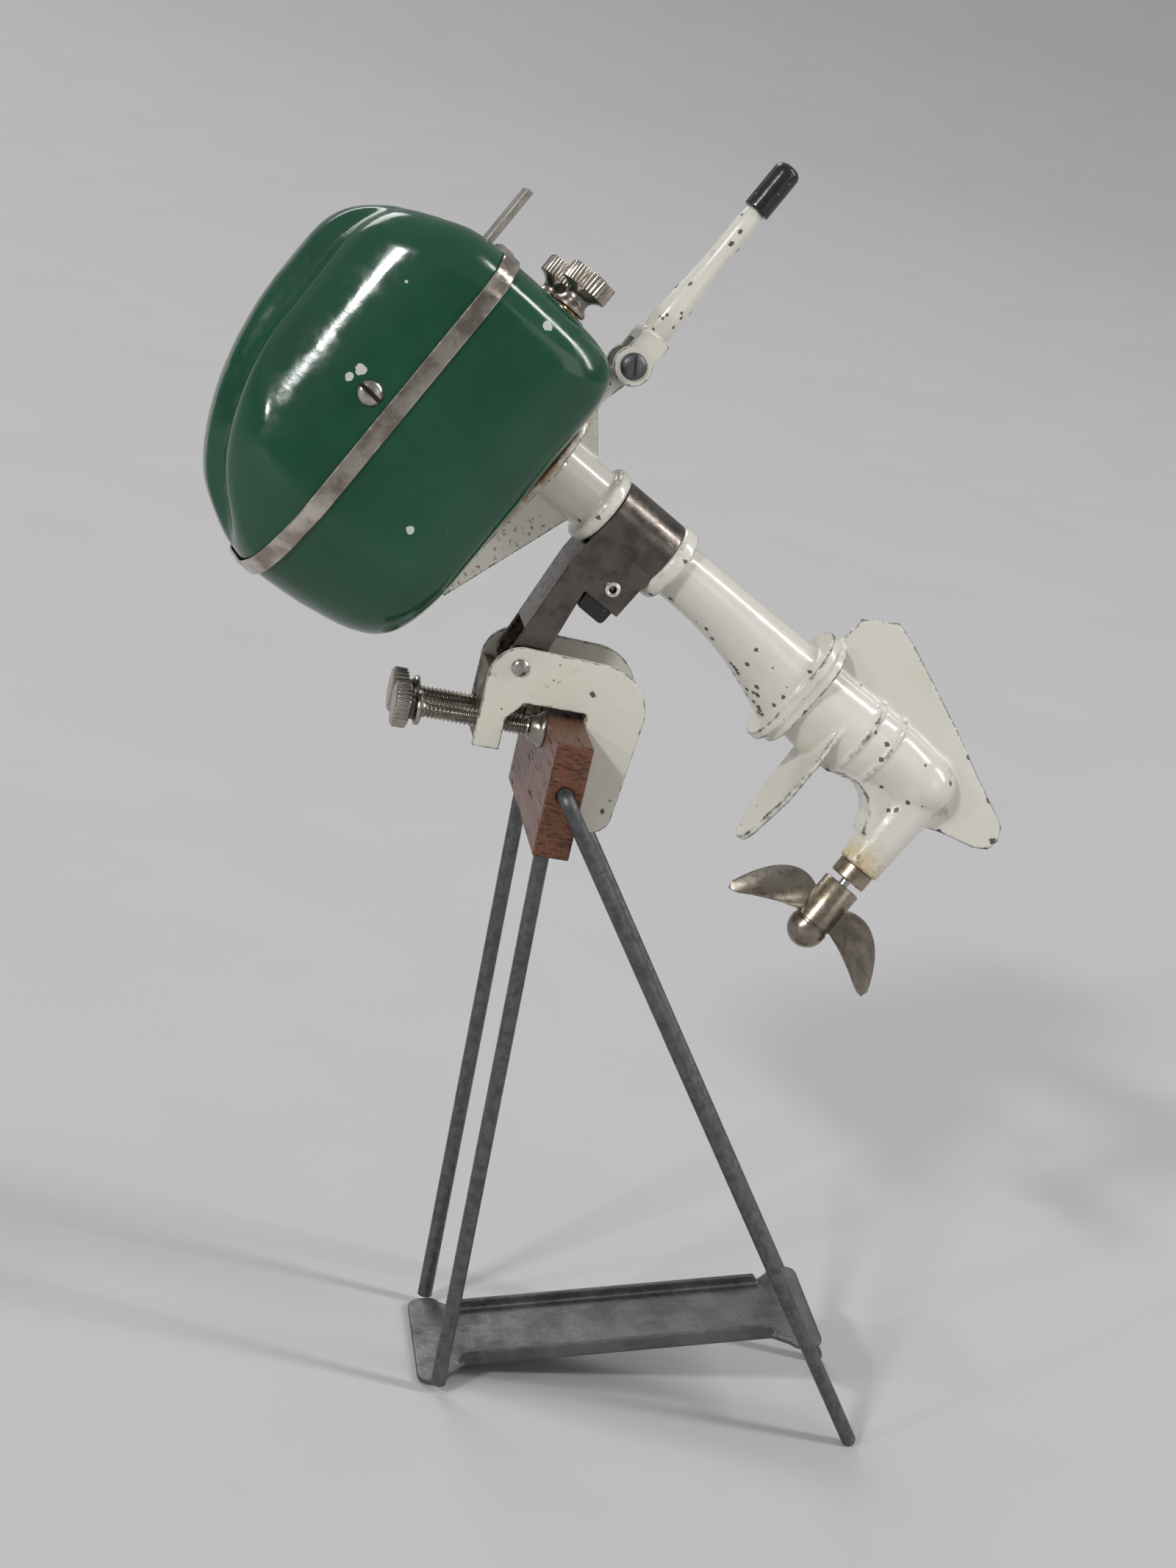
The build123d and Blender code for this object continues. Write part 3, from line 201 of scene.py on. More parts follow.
# ---- materials --------------------------------------------------------------------------------
class Shader:
    """A node material on a Principled shader, with short helpers for masks and colours."""

    def __init__(self, name, colour, roughness, metallic=0.0, coat=0.0):
        self.material = bpy.data.materials.new(name)
        self.material.use_nodes = True
        self.tree = self.material.node_tree
        self.shader = self.tree.nodes["Principled BSDF"]
        self.set("Base Color", (*colour, 1.0))
        self.set("Roughness", roughness)
        self.set("Metallic", metallic)
        self.set("Coat Weight", coat)
        self.set("Coat Roughness", 0.06)
        self.colour = None
        self.base = colour
        self.bumps = None
        self.coords = self.tree.nodes.new("ShaderNodeTexCoord").outputs["Object"]

    def set(self, socket, value):
        self.shader.inputs[socket].default_value = value

    def node(self, kind, **inputs):
        made = self.tree.nodes.new(kind)
        for key, value in inputs.items():
            self.feed(made.inputs[key.replace("_", " ")], value)
        return made

    def feed(self, socket, value):
        if isinstance(value, bpy.types.NodeSocket):
            self.tree.links.new(value, socket)
        elif isinstance(value, tuple) and len(value) == 3 and socket.type == "RGBA":
            socket.default_value = (*value, 1.0)
        else:
            socket.default_value = value

    def noise(self, size_mm, detail=4.0, rough=0.55, stretch=(1, 1, 1)):
        """Noise whose features are about size_mm across, longer where stretch is large."""
        scaled = self.node("ShaderNodeVectorMath")
        scaled.operation = "DIVIDE"
        self.feed(scaled.inputs[0], self.coords)
        self.feed(scaled.inputs[1], tuple(size_mm * MM * s for s in stretch))
        made = self.node("ShaderNodeTexNoise", Scale=1.0, Detail=detail, Roughness=rough)
        self.feed(made.inputs["Vector"], scaled.outputs[0])
        return made.outputs["Fac"]

    def specks(self, spacing_mm, size_mm):
        """Mask of small irregular dots, some way apart."""
        made = self.node("ShaderNodeTexVoronoi", Scale=1 / (spacing_mm * MM), Randomness=1.0)
        self.feed(made.inputs["Vector"], self.coords)
        edge = self.math("MULTIPLY", self.noise(size_mm * 0.6), size_mm / spacing_mm)
        return self.math("LESS_THAN", made.outputs["Distance"], edge)

    def ramp(self, value, low, high):
        """0 to 1 as value goes from low to high; high may be below low."""
        made = self.node("ShaderNodeMapRange", Value=value)
        made.interpolation_type = "SMOOTHSTEP"
        start, end = (low, high) if low < high else (high, low)
        self.feed(made.inputs["From Min"], start)
        self.feed(made.inputs["From Max"], end)
        self.feed(made.inputs["To Min"], 0.0 if low < high else 1.0)
        self.feed(made.inputs["To Max"], 1.0 if low < high else 0.0)
        return made.outputs["Result"]

    def math(self, operation, a, b):
        made = self.node("ShaderNodeMath")
        made.operation = operation
        self.feed(made.inputs[0], a)
        self.feed(made.inputs[1], b)
        return made.outputs[0]

    def along(self, place, axis):
        """The coordinate along a local frame's axis, in millimetres."""
        direction = Vector(place.col[axis][:3]).normalized() / MM
        made = self.node("ShaderNodeVectorMath")
        made.operation = "DOT_PRODUCT"
        self.feed(made.inputs[0], self.coords)
        self.feed(made.inputs[1], tuple(direction))
        return self.math("SUBTRACT", made.outputs["Value"], place.translation.dot(direction))

    def between(self, value, low, high, soft):
        """1 between two values, fading out over soft on each side."""
        return self.math("MULTIPLY", self.ramp(value, low - soft, low + soft),
                         self.ramp(value, high + soft, high - soft))

    def near(self, place, point_mm, radius_mm, ragged=0.5, grain_mm=0.8):
        """Mask of a ragged spot round a point of a local frame."""
        made = self.node("ShaderNodeVectorMath")
        made.operation = "DISTANCE"
        self.feed(made.inputs[0], self.coords)
        self.feed(made.inputs[1], tuple(place @ Vector(point_mm)))
        wobble = self.math("MULTIPLY", self.noise(grain_mm, 3.0), ragged * 2 * radius_mm * MM)
        spread = self.math("ADD", made.outputs["Value"], wobble)
        edge = radius_mm * MM * (1 + ragged)
        return self.ramp(spread, edge * 1.04, edge * 0.96)

    def edges(self, low, high, grain_mm=1.0, patchy=0.5):
        """Mask of worn convex edges, broken up by noise."""
        worn = self.node("ShaderNodeNewGeometry").outputs["Pointiness"]
        patches = self.math("MULTIPLY", self.noise(grain_mm, 5.0, 0.65), patchy * 0.2)
        return self.ramp(self.math("ADD", worn, patches), low + patchy * 0.1, high + patchy * 0.1)

    def over(self, mask, colour, amount=1.0):
        """Lay a colour over what is there, where the mask is."""
        if amount != 1.0:
            mask = self.math("MULTIPLY", mask, amount)
        made = self.tree.nodes.new("ShaderNodeMix")
        made.data_type = "RGBA"
        self.feed(made.inputs[0], mask)
        self.feed(made.inputs[6], self.colour if self.colour else (*self.base, 1.0))
        self.feed(made.inputs[7], (*colour, 1.0))
        self.colour = made.outputs[2]
        self.tree.links.new(self.colour, self.shader.inputs["Base Color"])
        return mask

    def vary(self, socket, value, low, high):
        """Drive a shader socket from low to high with a value of 0 to 1."""
        made = self.node("ShaderNodeMapRange", Value=value)
        self.feed(made.inputs["To Min"], low)
        self.feed(made.inputs["To Max"], high)
        self.tree.links.new(made.outputs["Result"], self.shader.inputs[socket])

    def bump(self, height, depth_mm, strength=1.0):
        """Add a height to the surface; several bumps stack."""
        made = self.node("ShaderNodeBump", Strength=strength, Distance=depth_mm * MM, Height=height)
        if self.bumps:
            self.tree.links.new(self.bumps, made.inputs["Normal"])
        self.bumps = made.outputs["Normal"]
        self.tree.links.new(self.bumps, self.shader.inputs["Normal"])


def green_lacquer():
    """Deep green stove lacquer, glossy, with small chips to the pale primer."""
    s = Shader("cowl_green_lacquer", (0.005, 0.048, 0.022), 0.12)
    s.over(s.ramp(s.noise(22.0, 3.0), 0.3, 0.7), (0.007, 0.062, 0.030))
    s.over(s.ramp(s.noise(2.5, 6.0, 0.7), 0.62, 0.8), (0.012, 0.085, 0.045), 0.35)
    for point, radius in COWL_CHIPS:
        s.over(s.near(MOTOR, point, radius), (0.45, 0.47, 0.43))
    s.over(s.specks(9.0, 0.35), (0.4, 0.46, 0.42), 0.8)
    s.vary("Roughness", s.ramp(s.noise(3.0, 6.0), 0.35, 0.75), 0.10, 0.24)
    s.bump(s.noise(1.6, 2.0), 0.015)
    s.bump(s.noise(14.0, 1.0), 0.12)
    return s.material


def white_enamel(name, colour=(0.60, 0.585, 0.52), chips=0.6):
    """White paint with faint yellowing, rust specks and chips along its edges."""
    s = Shader(name, colour, 0.24, coat=0.35)
    s.over(s.ramp(s.noise(12.0, 4.0), 0.35, 0.75), (0.55, 0.53, 0.44), 0.7)
    s.over(s.ramp(s.noise(1.2, 6.0, 0.7), 0.60, 0.85), (0.46, 0.42, 0.32), 0.5)
    s.over(s.specks(3.4, 0.42), (0.12, 0.075, 0.04), 0.85)
    dark = s.over(s.edges(0.515, 0.56, 1.6, chips), (0.07, 0.068, 0.065))
    s.vary("Roughness", dark, 0.22, 0.5)
    s.bump(s.noise(1.4, 3.0), 0.03)
    s.bump(dark, -0.06)
    return s


def casting_enamel():
    """The leg's white paint, with rust, stains and bare zinc where it has them."""
    s = white_enamel("casting_enamel")
    height = s.along(MOTOR, 2)
    reach = s.along(MOTOR, 0)
    rust = s.math("MULTIPLY", s.between(height, 17.9, 19.4, 0.5), s.ramp(s.noise(2.2, 5.0), 0.33, 0.62))
    s.over(rust, (0.32, 0.17, 0.045), 0.85)
    rib = s.math("MULTIPLY", s.between(height, 9.0, 17.7, 0.5), s.ramp(reach, -5.0, -9.0))
    s.over(s.math("MULTIPLY", rib, s.ramp(s.noise(0.9, 4.0), 0.57, 0.66)), (0.17, 0.11, 0.06), 0.8)
    snout = s.math("MULTIPLY", s.ramp(height, -56.5, -58.5), s.ramp(reach, -11.0, -18.5))
    s.over(s.math("MULTIPLY", snout, s.ramp(s.noise(3.0, 5.0), 0.25, 0.6)), (0.50, 0.38, 0.16), 0.9)
    s.over(s.math("MULTIPLY", snout, s.ramp(s.noise(0.8, 5.0, 0.7), 0.48, 0.62)), (0.20, 0.12, 0.04), 0.5)
    for point, radius, colour, amount in CASTING_STAINS:
        s.over(s.near(MOTOR, point, radius, 0.7, 1.6), colour, amount)
    zinc = s.math("MULTIPLY", s.between(height, 4.6, 5.75, 0.12), s.ramp(s.noise(3.0), 0.25, 0.45))
    s.over(zinc, (0.17, 0.175, 0.18))
    return s.material


def nickel(name, colour, roughness, brass=0.35, scratch=0.5, slot=None):
    """Tarnished nickel with painted shade in its hollows; slot = (place, width) of a screw slot darkened with
    painted shade.
    """
    s = Shader(name, colour, roughness, metallic=1.0)
    dull = tuple(c * 0.5 for c in colour)
    s.over(s.ramp(s.noise(3.5, 5.0, 0.6), 0.40, 0.68), dull, 0.8)
    s.over(s.ramp(s.noise(0.8, 6.0, 0.7), 0.52, 0.75), (0.13, 0.085, 0.05), 0.45)
    s.over(s.edges(0.52, 0.58, 2.0, 0.4), (0.62, 0.46, 0.24), brass)
    # painted shade: concave hollows such as thread roots and knurl grooves are darkened
    hollow_shade = s.ramp(s.node("ShaderNodeNewGeometry").outputs["Pointiness"], 0.485, 0.43)
    s.over(hollow_shade, (0.022, 0.018, 0.014), 0.85)
    if slot:
        place, wide = slot
        # painted shade laid in the screw slot
        s.over(s.between(s.along(place, 1), -wide / 2, wide / 2, 0.04), (0.035, 0.026, 0.018), 0.92)
    s.vary("Roughness", s.ramp(s.noise(1.1, 6.0, 0.7), 0.3, 0.75), roughness * 0.75, roughness * 1.5)
    s.bump(s.noise(0.35, 4.0, 0.6, (1, 7, 1)), 0.012, scratch)
    return s.material


def bright_plate(name, colour=(0.72, 0.66, 0.60), roughness=0.16):
    """Bright plating with brown clouds and small pits."""
    s = Shader(name, colour, roughness, metallic=1.0)
    s.over(s.ramp(s.noise(5.0, 3.0), 0.42, 0.62), (0.22, 0.175, 0.14), 0.7)
    s.over(s.ramp(s.noise(0.6, 6.0, 0.7), 0.60, 0.78), (0.2, 0.14, 0.09), 0.6)
    s.vary("Roughness", s.ramp(s.noise(0.7, 6.0), 0.4, 0.75), roughness * 0.8, roughness * 2.0)
    s.bump(s.noise(2.2, 3.0), 0.03)
    return s.material


def wire_steel():
    """Dull grey wire."""
    s = Shader("stand_wire_steel", (0.125, 0.128, 0.130), 0.4, metallic=0.75)
    s.over(s.ramp(s.noise(1.6, 6.0, 0.65), 0.38, 0.66), (0.070, 0.071, 0.073), 0.85)
    s.over(s.ramp(s.noise(0.5, 6.0, 0.7), 0.62, 0.76), (0.22, 0.225, 0.23), 0.5)
    s.vary("Roughness", s.ramp(s.noise(1.5, 5.0), 0.3, 0.7), 0.28, 0.55)
    s.bump(s.noise(0.5, 5.0, 0.65), 0.05)
    return s.material


def sheet_steel(name="stand_sheet_steel", colour=(0.135, 0.137, 0.14)):
    """Blued or rusty sheet steel with soft clouds."""
    s = Shader(name, colour, 0.42, metallic=0.8)
    dark = tuple(c * 0.55 for c in colour)
    s.over(s.ramp(s.noise(7.0, 6.0, 0.6), 0.38, 0.66), dark, 0.8)
    s.over(s.ramp(s.noise(1.0, 6.0, 0.7), 0.58, 0.76), tuple(c * 1.6 for c in colour), 0.5)
    s.over(s.ramp(s.noise(3.0, 5.0, 0.6), 0.66, 0.74), (0.16, 0.09, 0.045), 0.6)
    s.vary("Roughness", s.ramp(s.noise(2.0, 6.0), 0.3, 0.7), 0.32, 0.6)
    s.bump(s.noise(0.8, 5.0, 0.6), 0.05)
    return s.material


def hardwood():
    """The block's wood: long grain on its sides, rings on its ends, and a browner top."""
    low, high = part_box("transom_block")
    s = Shader("transom_hardwood", (0.135, 0.060, 0.043), 0.7)
    s.over(s.ramp(s.noise(1.6, 4.0, 0.55, (1, 9, 1)), 0.35, 0.7), (0.175, 0.100, 0.078))
    pores = s.ramp(s.noise(0.55, 3.0, 0.6, (1, 11, 1)), 0.585, 0.66)
    s.over(pores, (0.028, 0.014, 0.011))
    height = s.along(Matrix.Scale(MM, 4), 2)
    depth = s.along(Matrix.Scale(MM, 4), 1)
    top = s.ramp(height, high.z / MM - 0.35, high.z / MM - 0.15)
    s.over(top, (0.11, 0.050, 0.026), 0.75)
    ends = s.math("MAXIMUM", s.ramp(depth, high.y / MM - 0.3, high.y / MM - 0.12),
                  s.ramp(depth, low.y / MM + 0.3, low.y / MM + 0.12))
    s.over(ends, (0.13, 0.046, 0.020))
    rings = s.ramp(s.noise(0.42, 5.0, 0.7, (5, 1, 1)), 0.46, 0.60)
    s.over(s.math("MULTIPLY", ends, rings), (0.042, 0.013, 0.007))
    glints = s.ramp(s.noise(0.30, 4.0, 0.7, (4, 1, 1)), 0.60, 0.70)
    s.over(s.math("MULTIPLY", ends, glints), (0.30, 0.15, 0.08), 0.7)
    s.vary("Roughness", pores, 0.42, 0.75)
    s.bump(s.noise(0.5, 4.0, 0.6, (1, 9, 1)), 0.08)
    s.bump(pores, -0.12)
    return s.material


def black_matter(name, roughness, grain_mm):
    """Black rubber or plastic with a little dust."""
    s = Shader(name, (0.012, 0.012, 0.013), roughness)
    s.over(s.ramp(s.noise(grain_mm, 5.0, 0.65), 0.55, 0.8), (0.06, 0.058, 0.055), 0.6)
    s.over(s.specks(2.2, 0.3), (0.35, 0.34, 0.32), 0.5)
    s.vary("Roughness", s.ramp(s.noise(grain_mm * 2), 0.3, 0.7), roughness * 0.8, roughness * 1.2)
    s.bump(s.noise(grain_mm * 0.5, 3.0), 0.065 * roughness)
    return s.material


def fibre_board(name, colour=(0.17, 0.038, 0.020)):
    """Pressed fibre, mottled."""
    s = Shader(name, colour, 0.55)
    s.over(s.ramp(s.noise(1.2, 6.0, 0.7), 0.4, 0.7), tuple(c * 0.5 for c in colour))
    s.bump(s.noise(0.3, 4.0, 0.6, (1, 5, 1)), 0.03)
    return s.material


def plain_metal(name, colour, roughness=0.3):
    """Turned metal with fine marks."""
    s = Shader(name, colour, roughness, metallic=1.0)
    s.over(s.ramp(s.noise(2.0, 5.0), 0.4, 0.7), tuple(c * 0.7 for c in colour))
    s.bump(s.noise(0.3, 3.0, 0.5, (1, 1, 6)), 0.01)
    return s.material


# chips and stains: (point in the motor's frame, radius[, colour, amount]) in millimetres
COWL_CHIPS = [((13.7, -18.4, 33.8), 0.75), ((-20.9, -18.7, 30.6), 0.6), ((-8.0, -18.2, 50.3), 0.8),
              ((-9.8, -18.2, 50.9), 0.6), ((7.6, -17.6, 51.7), 0.3), ((9.6, -17.6, 51.0), 0.35),
              ((5.4, -17.7, 53.1), 0.25), ((9.3, -17.4, 52.6), 0.22), ((12.3, -18.3, 45.3), 0.3)]
CASTING_STAINS = [((-2.0, -2.5, -67.5), 2.2, (0.34, 0.22, 0.12), 0.5),
                  ((5.0, -3.0, -64.0), 1.6, (0.38, 0.27, 0.16), 0.5)]


# ---- cowl -------------------------------------------------------------------------------------
CORNER_STEPS, SIDE_STEPS, FRONT_STEPS = 16, 14, 44
PANEL_X = 15.8                         # face of the sunken front panel
LEVER_Z, LEVER_SHEET = 45.0, 1.1
COWL_SHEET = 0.8
JOINT_Z = 43.0                         # middle of the trim band
FRONT_CORNER = 0.5                     # front corner radius over rear corner radius
# height, rear X, front X, half width, rear corner radius
LOWER_COWL = [(18.95, -27.0, 10.0, 9.6, 7.0), (19.35, -31.0, 12.6, 12.6, 9.4),
              (21.2, -35.2, 15.4, 16.0, 11.4), (26.0, -37.9, 17.0, 18.3, 13.2),
              (35.0, -39.5, 17.6, 18.95, 14.0), (42.95, -39.9, 17.7, 19.0, 14.0)]
UPPER_COWL = [(43.05, -39.9, 17.7, 19.0, 14.0), (47.0, -38.8, 17.7, 18.85, 14.0),
              (51.0, -36.6, 17.0, 18.2, 13.6), (55.0, -33.4, 15.3, 16.9, 13.0),
              (58.4, -28.8, 13.6, 14.9, 11.6), (61.2, -23.0, 11.2, 12.2, 9.6),
              (63.2, -16.6, 8.6, 8.9, 7.2), (64.4, -10.2, 5.6, 5.2, 4.4), (64.8, -5.6, 2.6, 2.2, 2.0)]


def curve_through(rows, t):
    """A smooth curve through rows of numbers, with t counted in rows."""
    i = min(int(t), len(rows) - 2)
    f = t - i
    a, b, c, d = rows[max(i - 1, 0)], rows[i], rows[i + 1], rows[min(i + 2, len(rows) - 1)]
    out = []
    for k in range(len(b)):
        low, high = (c[k] - a[k]) / 2, (d[k] - b[k]) / 2
        span = c[k] - b[k]
        out.append(b[k] + f * low + f * f * (3 * span - 2 * low - high)
                   + f * f * f * (low + high - 2 * span))
    return out


def cowl_outline(row, inset=0.0):
    """Plan outline of the cowl at one height, anticlockwise from the middle of the front."""
    z, rear, front, half, corner = row
    rear, front, half = rear + inset, front - inset, half - inset
    big, small = max(corner - inset, 0.2), max(corner * FRONT_CORNER - inset, 0.1)
    # centre, radius and starting turn of each corner
    corners = [((front - small, half - small), small, 0.0), ((rear + big, half - big), big, 0.25),
               ((rear + big, big - half), big, 0.5), ((front - small, small - half), small, 0.75)]
    points = []
    for i, ((x, y), radius, start) in enumerate(corners):
        for j in range(CORNER_STEPS + 1):
            angle = TURN * (start + 0.25 * j / CORNER_STEPS)
            points.append((x + radius * math.cos(angle), y + radius * math.sin(angle)))
        (nx, ny), next_radius, next_start = corners[(i + 1) % 4]
        end = points[-1]
        angle = TURN * next_start
        nxt = (nx + next_radius * math.cos(angle), ny + next_radius * math.sin(angle))
        count = FRONT_STEPS if i == 3 else SIDE_STEPS
        for j in range(1, count):
            f = j / count
            points.append((end[0] + (nxt[0] - end[0]) * f, end[1] + (nxt[1] - end[1]) * f))
    return [(x, y, z) for x, y in points]


def cowl_relief(point):
    """The pressed shape: a spine over the top with a valley on each side, and a flat front panel."""
    x, y, z = point
    out = Vector(((x + 10) / 28, 0, max(z - 43, 0.1) / 22)).normalized()
    aside = abs(y)
    valley = smoothstep(2.6, 5.2, aside) * (1 - smoothstep(5.2, 13.0, aside)) * smoothstep(44.5, 53.0, z)
    rise = math.exp(-(y / 4.0) ** 2) * smoothstep(48.0, 56.0, z)
    fade = 1 - smoothstep(7.0, 15.0, x)
    panel = (1 - smoothstep(11.2, 12.2, aside)) * smoothstep(21.8, 23.0, z) * (1 - smoothstep(54.0, 56.0, z))
    pressed = Vector(point) + out * (0.5 * rise - 2.2 * valley) * fade
    pressed.x -= max(0.0, x - PANEL_X) * panel
    return pressed


def cowl_skin(rows, per_row, closed_ring=None):
    """Rings of one cowl half from its open edge to its closed end, as points and faces."""
    levels = steps(0, len(rows) - 1, (len(rows) - 1) * per_row + 1)
    rings = [[cowl_relief(p) for p in cowl_outline(curve_through(rows, t))] for t in levels]
    if closed_ring:
        rings.append(closed_ring(rings[-1]))
    count = len(rings[0])
    points = [p for ring in rings for p in ring]
    faces = []
    for i in range(len(rings) - 1):
        for j in range(count):
            a, b, k = i * count, (i + 1) * count, (j + 1) % count
            faces.append((a + j, a + k, b + k, b + j))
    if not closed_ring:
        points.append(sum(rings[-1], Vector()) / count)
        last = (len(rings) - 1) * count
        faces += [(last + j, last + (j + 1) % count, len(points) - 1) for j in range(count)]
    return points, faces


def applied(obj):
    """Replace an object's mesh with what its modifiers make of it."""
    bpy.context.view_layer.update()
    evaluated = obj.evaluated_get(bpy.context.evaluated_depsgraph_get())
    mesh = bpy.data.meshes.new_from_object(evaluated)
    obj.modifiers.clear()
    old = obj.data
    obj.data = mesh
    mesh.name = obj.name
    bpy.data.meshes.remove(old)


def cut(obj, shells, place):
    """Take closed local shells out of an object."""
    for points, faces in shells:
        mesh = bpy.data.meshes.new("cutter")
        mesh.from_pydata([place @ Vector(p) for p in points], [], faces)
        bm = bmesh.new()
        bm.from_mesh(mesh)
        bmesh.ops.recalc_face_normals(bm, faces=bm.faces)
        bm.to_mesh(mesh)
        bm.free()
        cutter = bpy.data.objects.new("cutter", mesh)
        bpy.context.scene.collection.objects.link(cutter)
        boolean = obj.modifiers.new("cut", "BOOLEAN")
        boolean.operation = "DIFFERENCE"
        boolean.solver = "EXACT"
        boolean.object = cutter
        applied(obj)
        bpy.data.objects.remove(cutter)
    obj.data.set_sharp_from_angle(angle=math.radians(32))


def block(x0, x1, y0, y1, z0, z1):
    """A box as a shell."""
    points = [(x, y, z) for x in (x0, x1) for y in (y0, y1) for z in (z0, z1)]
    return points, [(0, 1, 3, 2), (4, 6, 7, 5), (0, 4, 5, 1), (2, 3, 7, 6), (0, 2, 6, 4), (1, 5, 7, 3)]


def make_cowl_half(name, rows, closed_ring=None):
    """One pressed half as a sheet of even thickness; closed_ring bends the last ring of points."""
    points, faces = cowl_skin(rows, 5, closed_ring)
    obj = make_piece(name, [(points, faces)], MOTOR, "motor", GREEN, (name,))
    thick = obj.modifiers.new("wall", "SOLIDIFY")
    thick.thickness = COWL_SHEET * MM
    thick.offset = -1
    applied(obj)
    return obj


def leg_hole(ring):
    """The hole in the lower cowl's floor that the leg's neck comes through."""
    out = []
    for p in ring:
        angle = math.atan2(p.y, p.x)
        out.append(Vector((6 * math.cos(angle), 6 * math.sin(angle), p.z)))
    return out


def make_cowl():
    """Both cowl halves, with the lever's slot in the upper one."""
    make_cowl_half("lower_cowl", LOWER_COWL[::-1], leg_hole).name = "lower_cowl_shell"
    upper = make_cowl_half("upper_cowl", UPPER_COWL)
    upper.name = "upper_cowl_shell"
    slot_half = LEVER_SHEET / 2 + 0.3
    cut(upper, [block(13, 22, -4.9, 4.9, LEVER_Z - slot_half, LEVER_Z + slot_half)], MOTOR)


def make_trim_band():
    """Bright strip round the cowl's joint, with the folded clip that closes it."""
    section = [(-0.10, -1.40), (-0.42, -1.40), (-0.58, -1.22), (-0.62, 0.0), (-0.58, 1.22),
               (-0.42, 1.40), (-0.10, 1.40)]
    loops = [cowl_outline((JOINT_Z + z, -39.9, 17.7, 19.0, 14.0), inset) for inset, z in section]
    rings = [[loop[j] for loop in loops] for j in range(len(loops[0]))]
    shells = [rings_to_shell(rings, closed=True)]
    clip = [(17.9, 41.3), (18.9, 41.3), (19.2, 41.7), (19.2, 43.9), (18.8, 44.3), (17.9, 44.3)]
    rings = []
    for y, grow in ((-6.2, 0.0), (-5.4, 1.0), (-3.6, 1.0), (-2.9, 0.3)):
        rings.append([(17.9 + (x - 17.9) * (0.4 + 0.6 * grow), y, z) for x, z in clip])
    shells.append(rings_to_shell(rings))
    make_piece("trim_band_strip", shells, MOTOR, "motor", BRIGHT, ("trim_band",))


# ---- fasteners --------------------------------------------------------------------------------
CLAMP_PITCH, CLAMP_THREAD_RADIUS = 0.635, 1.42
CLAMP_THREAD_FROM, CLAMP_THREAD_TO = -26.1, -9.8
CLAMP_SCREW_Y, CLAMP_SCREW_Z = 3.8, 108.3
TERMINAL_X, TERMINAL_Y, TERMINAL_Z = -1.55, 8.0, 31.0
STUD_RADIUS = 1.45
SIDE_SCREW_X, SIDE_SCREW_Z, SIDE_SCREW_SLOT = -9.7, 47.3, 86
TILLER_SCREW_X, TILLER_SCREW_Z, TILLER_SCREW_SLOT = 18.6, 16.9, 35


def knurl(count, depth, low, high):
    """Straight knurling between two stations."""
    def relief(angle, z):
        if not low < z < high:
            return 0.0
        return depth * (0.5 + 0.5 * math.cos(count * angle)) ** 0.6
    return relief


def helix(pitch, depth, low, high):
    """A screw thread between two stations."""
    def relief(angle, z):
        if not low < z < high:
            return 0.0
        phase = (angle / TURN + z / pitch) % 1.0
        fade = min(1.0, (z - low) / pitch, (high - z) / pitch)
        return depth * fade * min(1.0, 1.25 * abs(2 * phase - 1))
    return relief


def either(*reliefs):
    """The deepest of several reliefs."""
    return lambda angle, z: max(r(angle, z) for r in reliefs)


def hexagon(across_flats, radius):
    """Cut a round bar of that radius down to a hexagon."""
    def relief(angle, z):
        turn = (angle % (TURN / 6)) - TURN / 12
        return max(0.0, radius - across_flats / 2 / math.cos(turn))
    return relief


def make_clamp_screw(side_name, side):
    """Thumbscrew with a knurled head, a polished shoulder and a real thread."""
    profile = [(-30.6, 2.7), (-30.55, 3.1), (-30.3, 3.42), (-30.05, 3.5), (-28.55, 3.5), (-28.3, 3.42),
               (-28.12, 3.1), (-28.1, 2.1), (-27.9, 1.95), (-27.4, 1.95), (-27.15, 2.3), (-27.05, 2.6),
               (-26.85, 2.7), (-26.5, 2.7), (-26.3, 2.55), (-26.2, 2.1), (-26.15, CLAMP_THREAD_RADIUS)]
    turns = (CLAMP_THREAD_TO - CLAMP_THREAD_FROM) / CLAMP_PITCH
    stations = steps(CLAMP_THREAD_FROM, CLAMP_THREAD_TO, int(turns * (10)))
    profile += [(z, CLAMP_THREAD_RADIUS) for z in stations]
    profile += [(-9.72, 1.2), (-9.7, 0.8), (-8.2, 0.8), (-8.1, 0.7)]
    relief = either(knurl(34, 0.22, -30.2, -28.4),
                    helix(CLAMP_PITCH, 0.33, CLAMP_THREAD_FROM, CLAMP_THREAD_TO))
    screw = turned(profile, 136, relief)
    place = STAND @ Matrix.Translation((0, side * CLAMP_SCREW_Y, CLAMP_SCREW_Z)) @ ALONG_X
    make_piece(side_name + "_clamp_thumbscrew", [screw], place, side_name + "_screw",
               SCREW_NICKEL, (side_name + "_clamp_screw",))
    pad = turned([(-8.05, 0.86), (-9.55, 0.86), (-9.6, 1.0), (-9.6, 1.7), (-9.45, 1.9), (-8.6, 2.05),
                  (-8.15, 2.3), (-7.85, 2.7), (-7.6, 2.8), (-7.35, 2.8), (-7.2, 2.6)], 64)
    make_piece(side_name + "_clamp_pad_cup", [pad], place, side_name + "_pad",
               SCREW_NICKEL, (side_name + "_clamp_pad",))


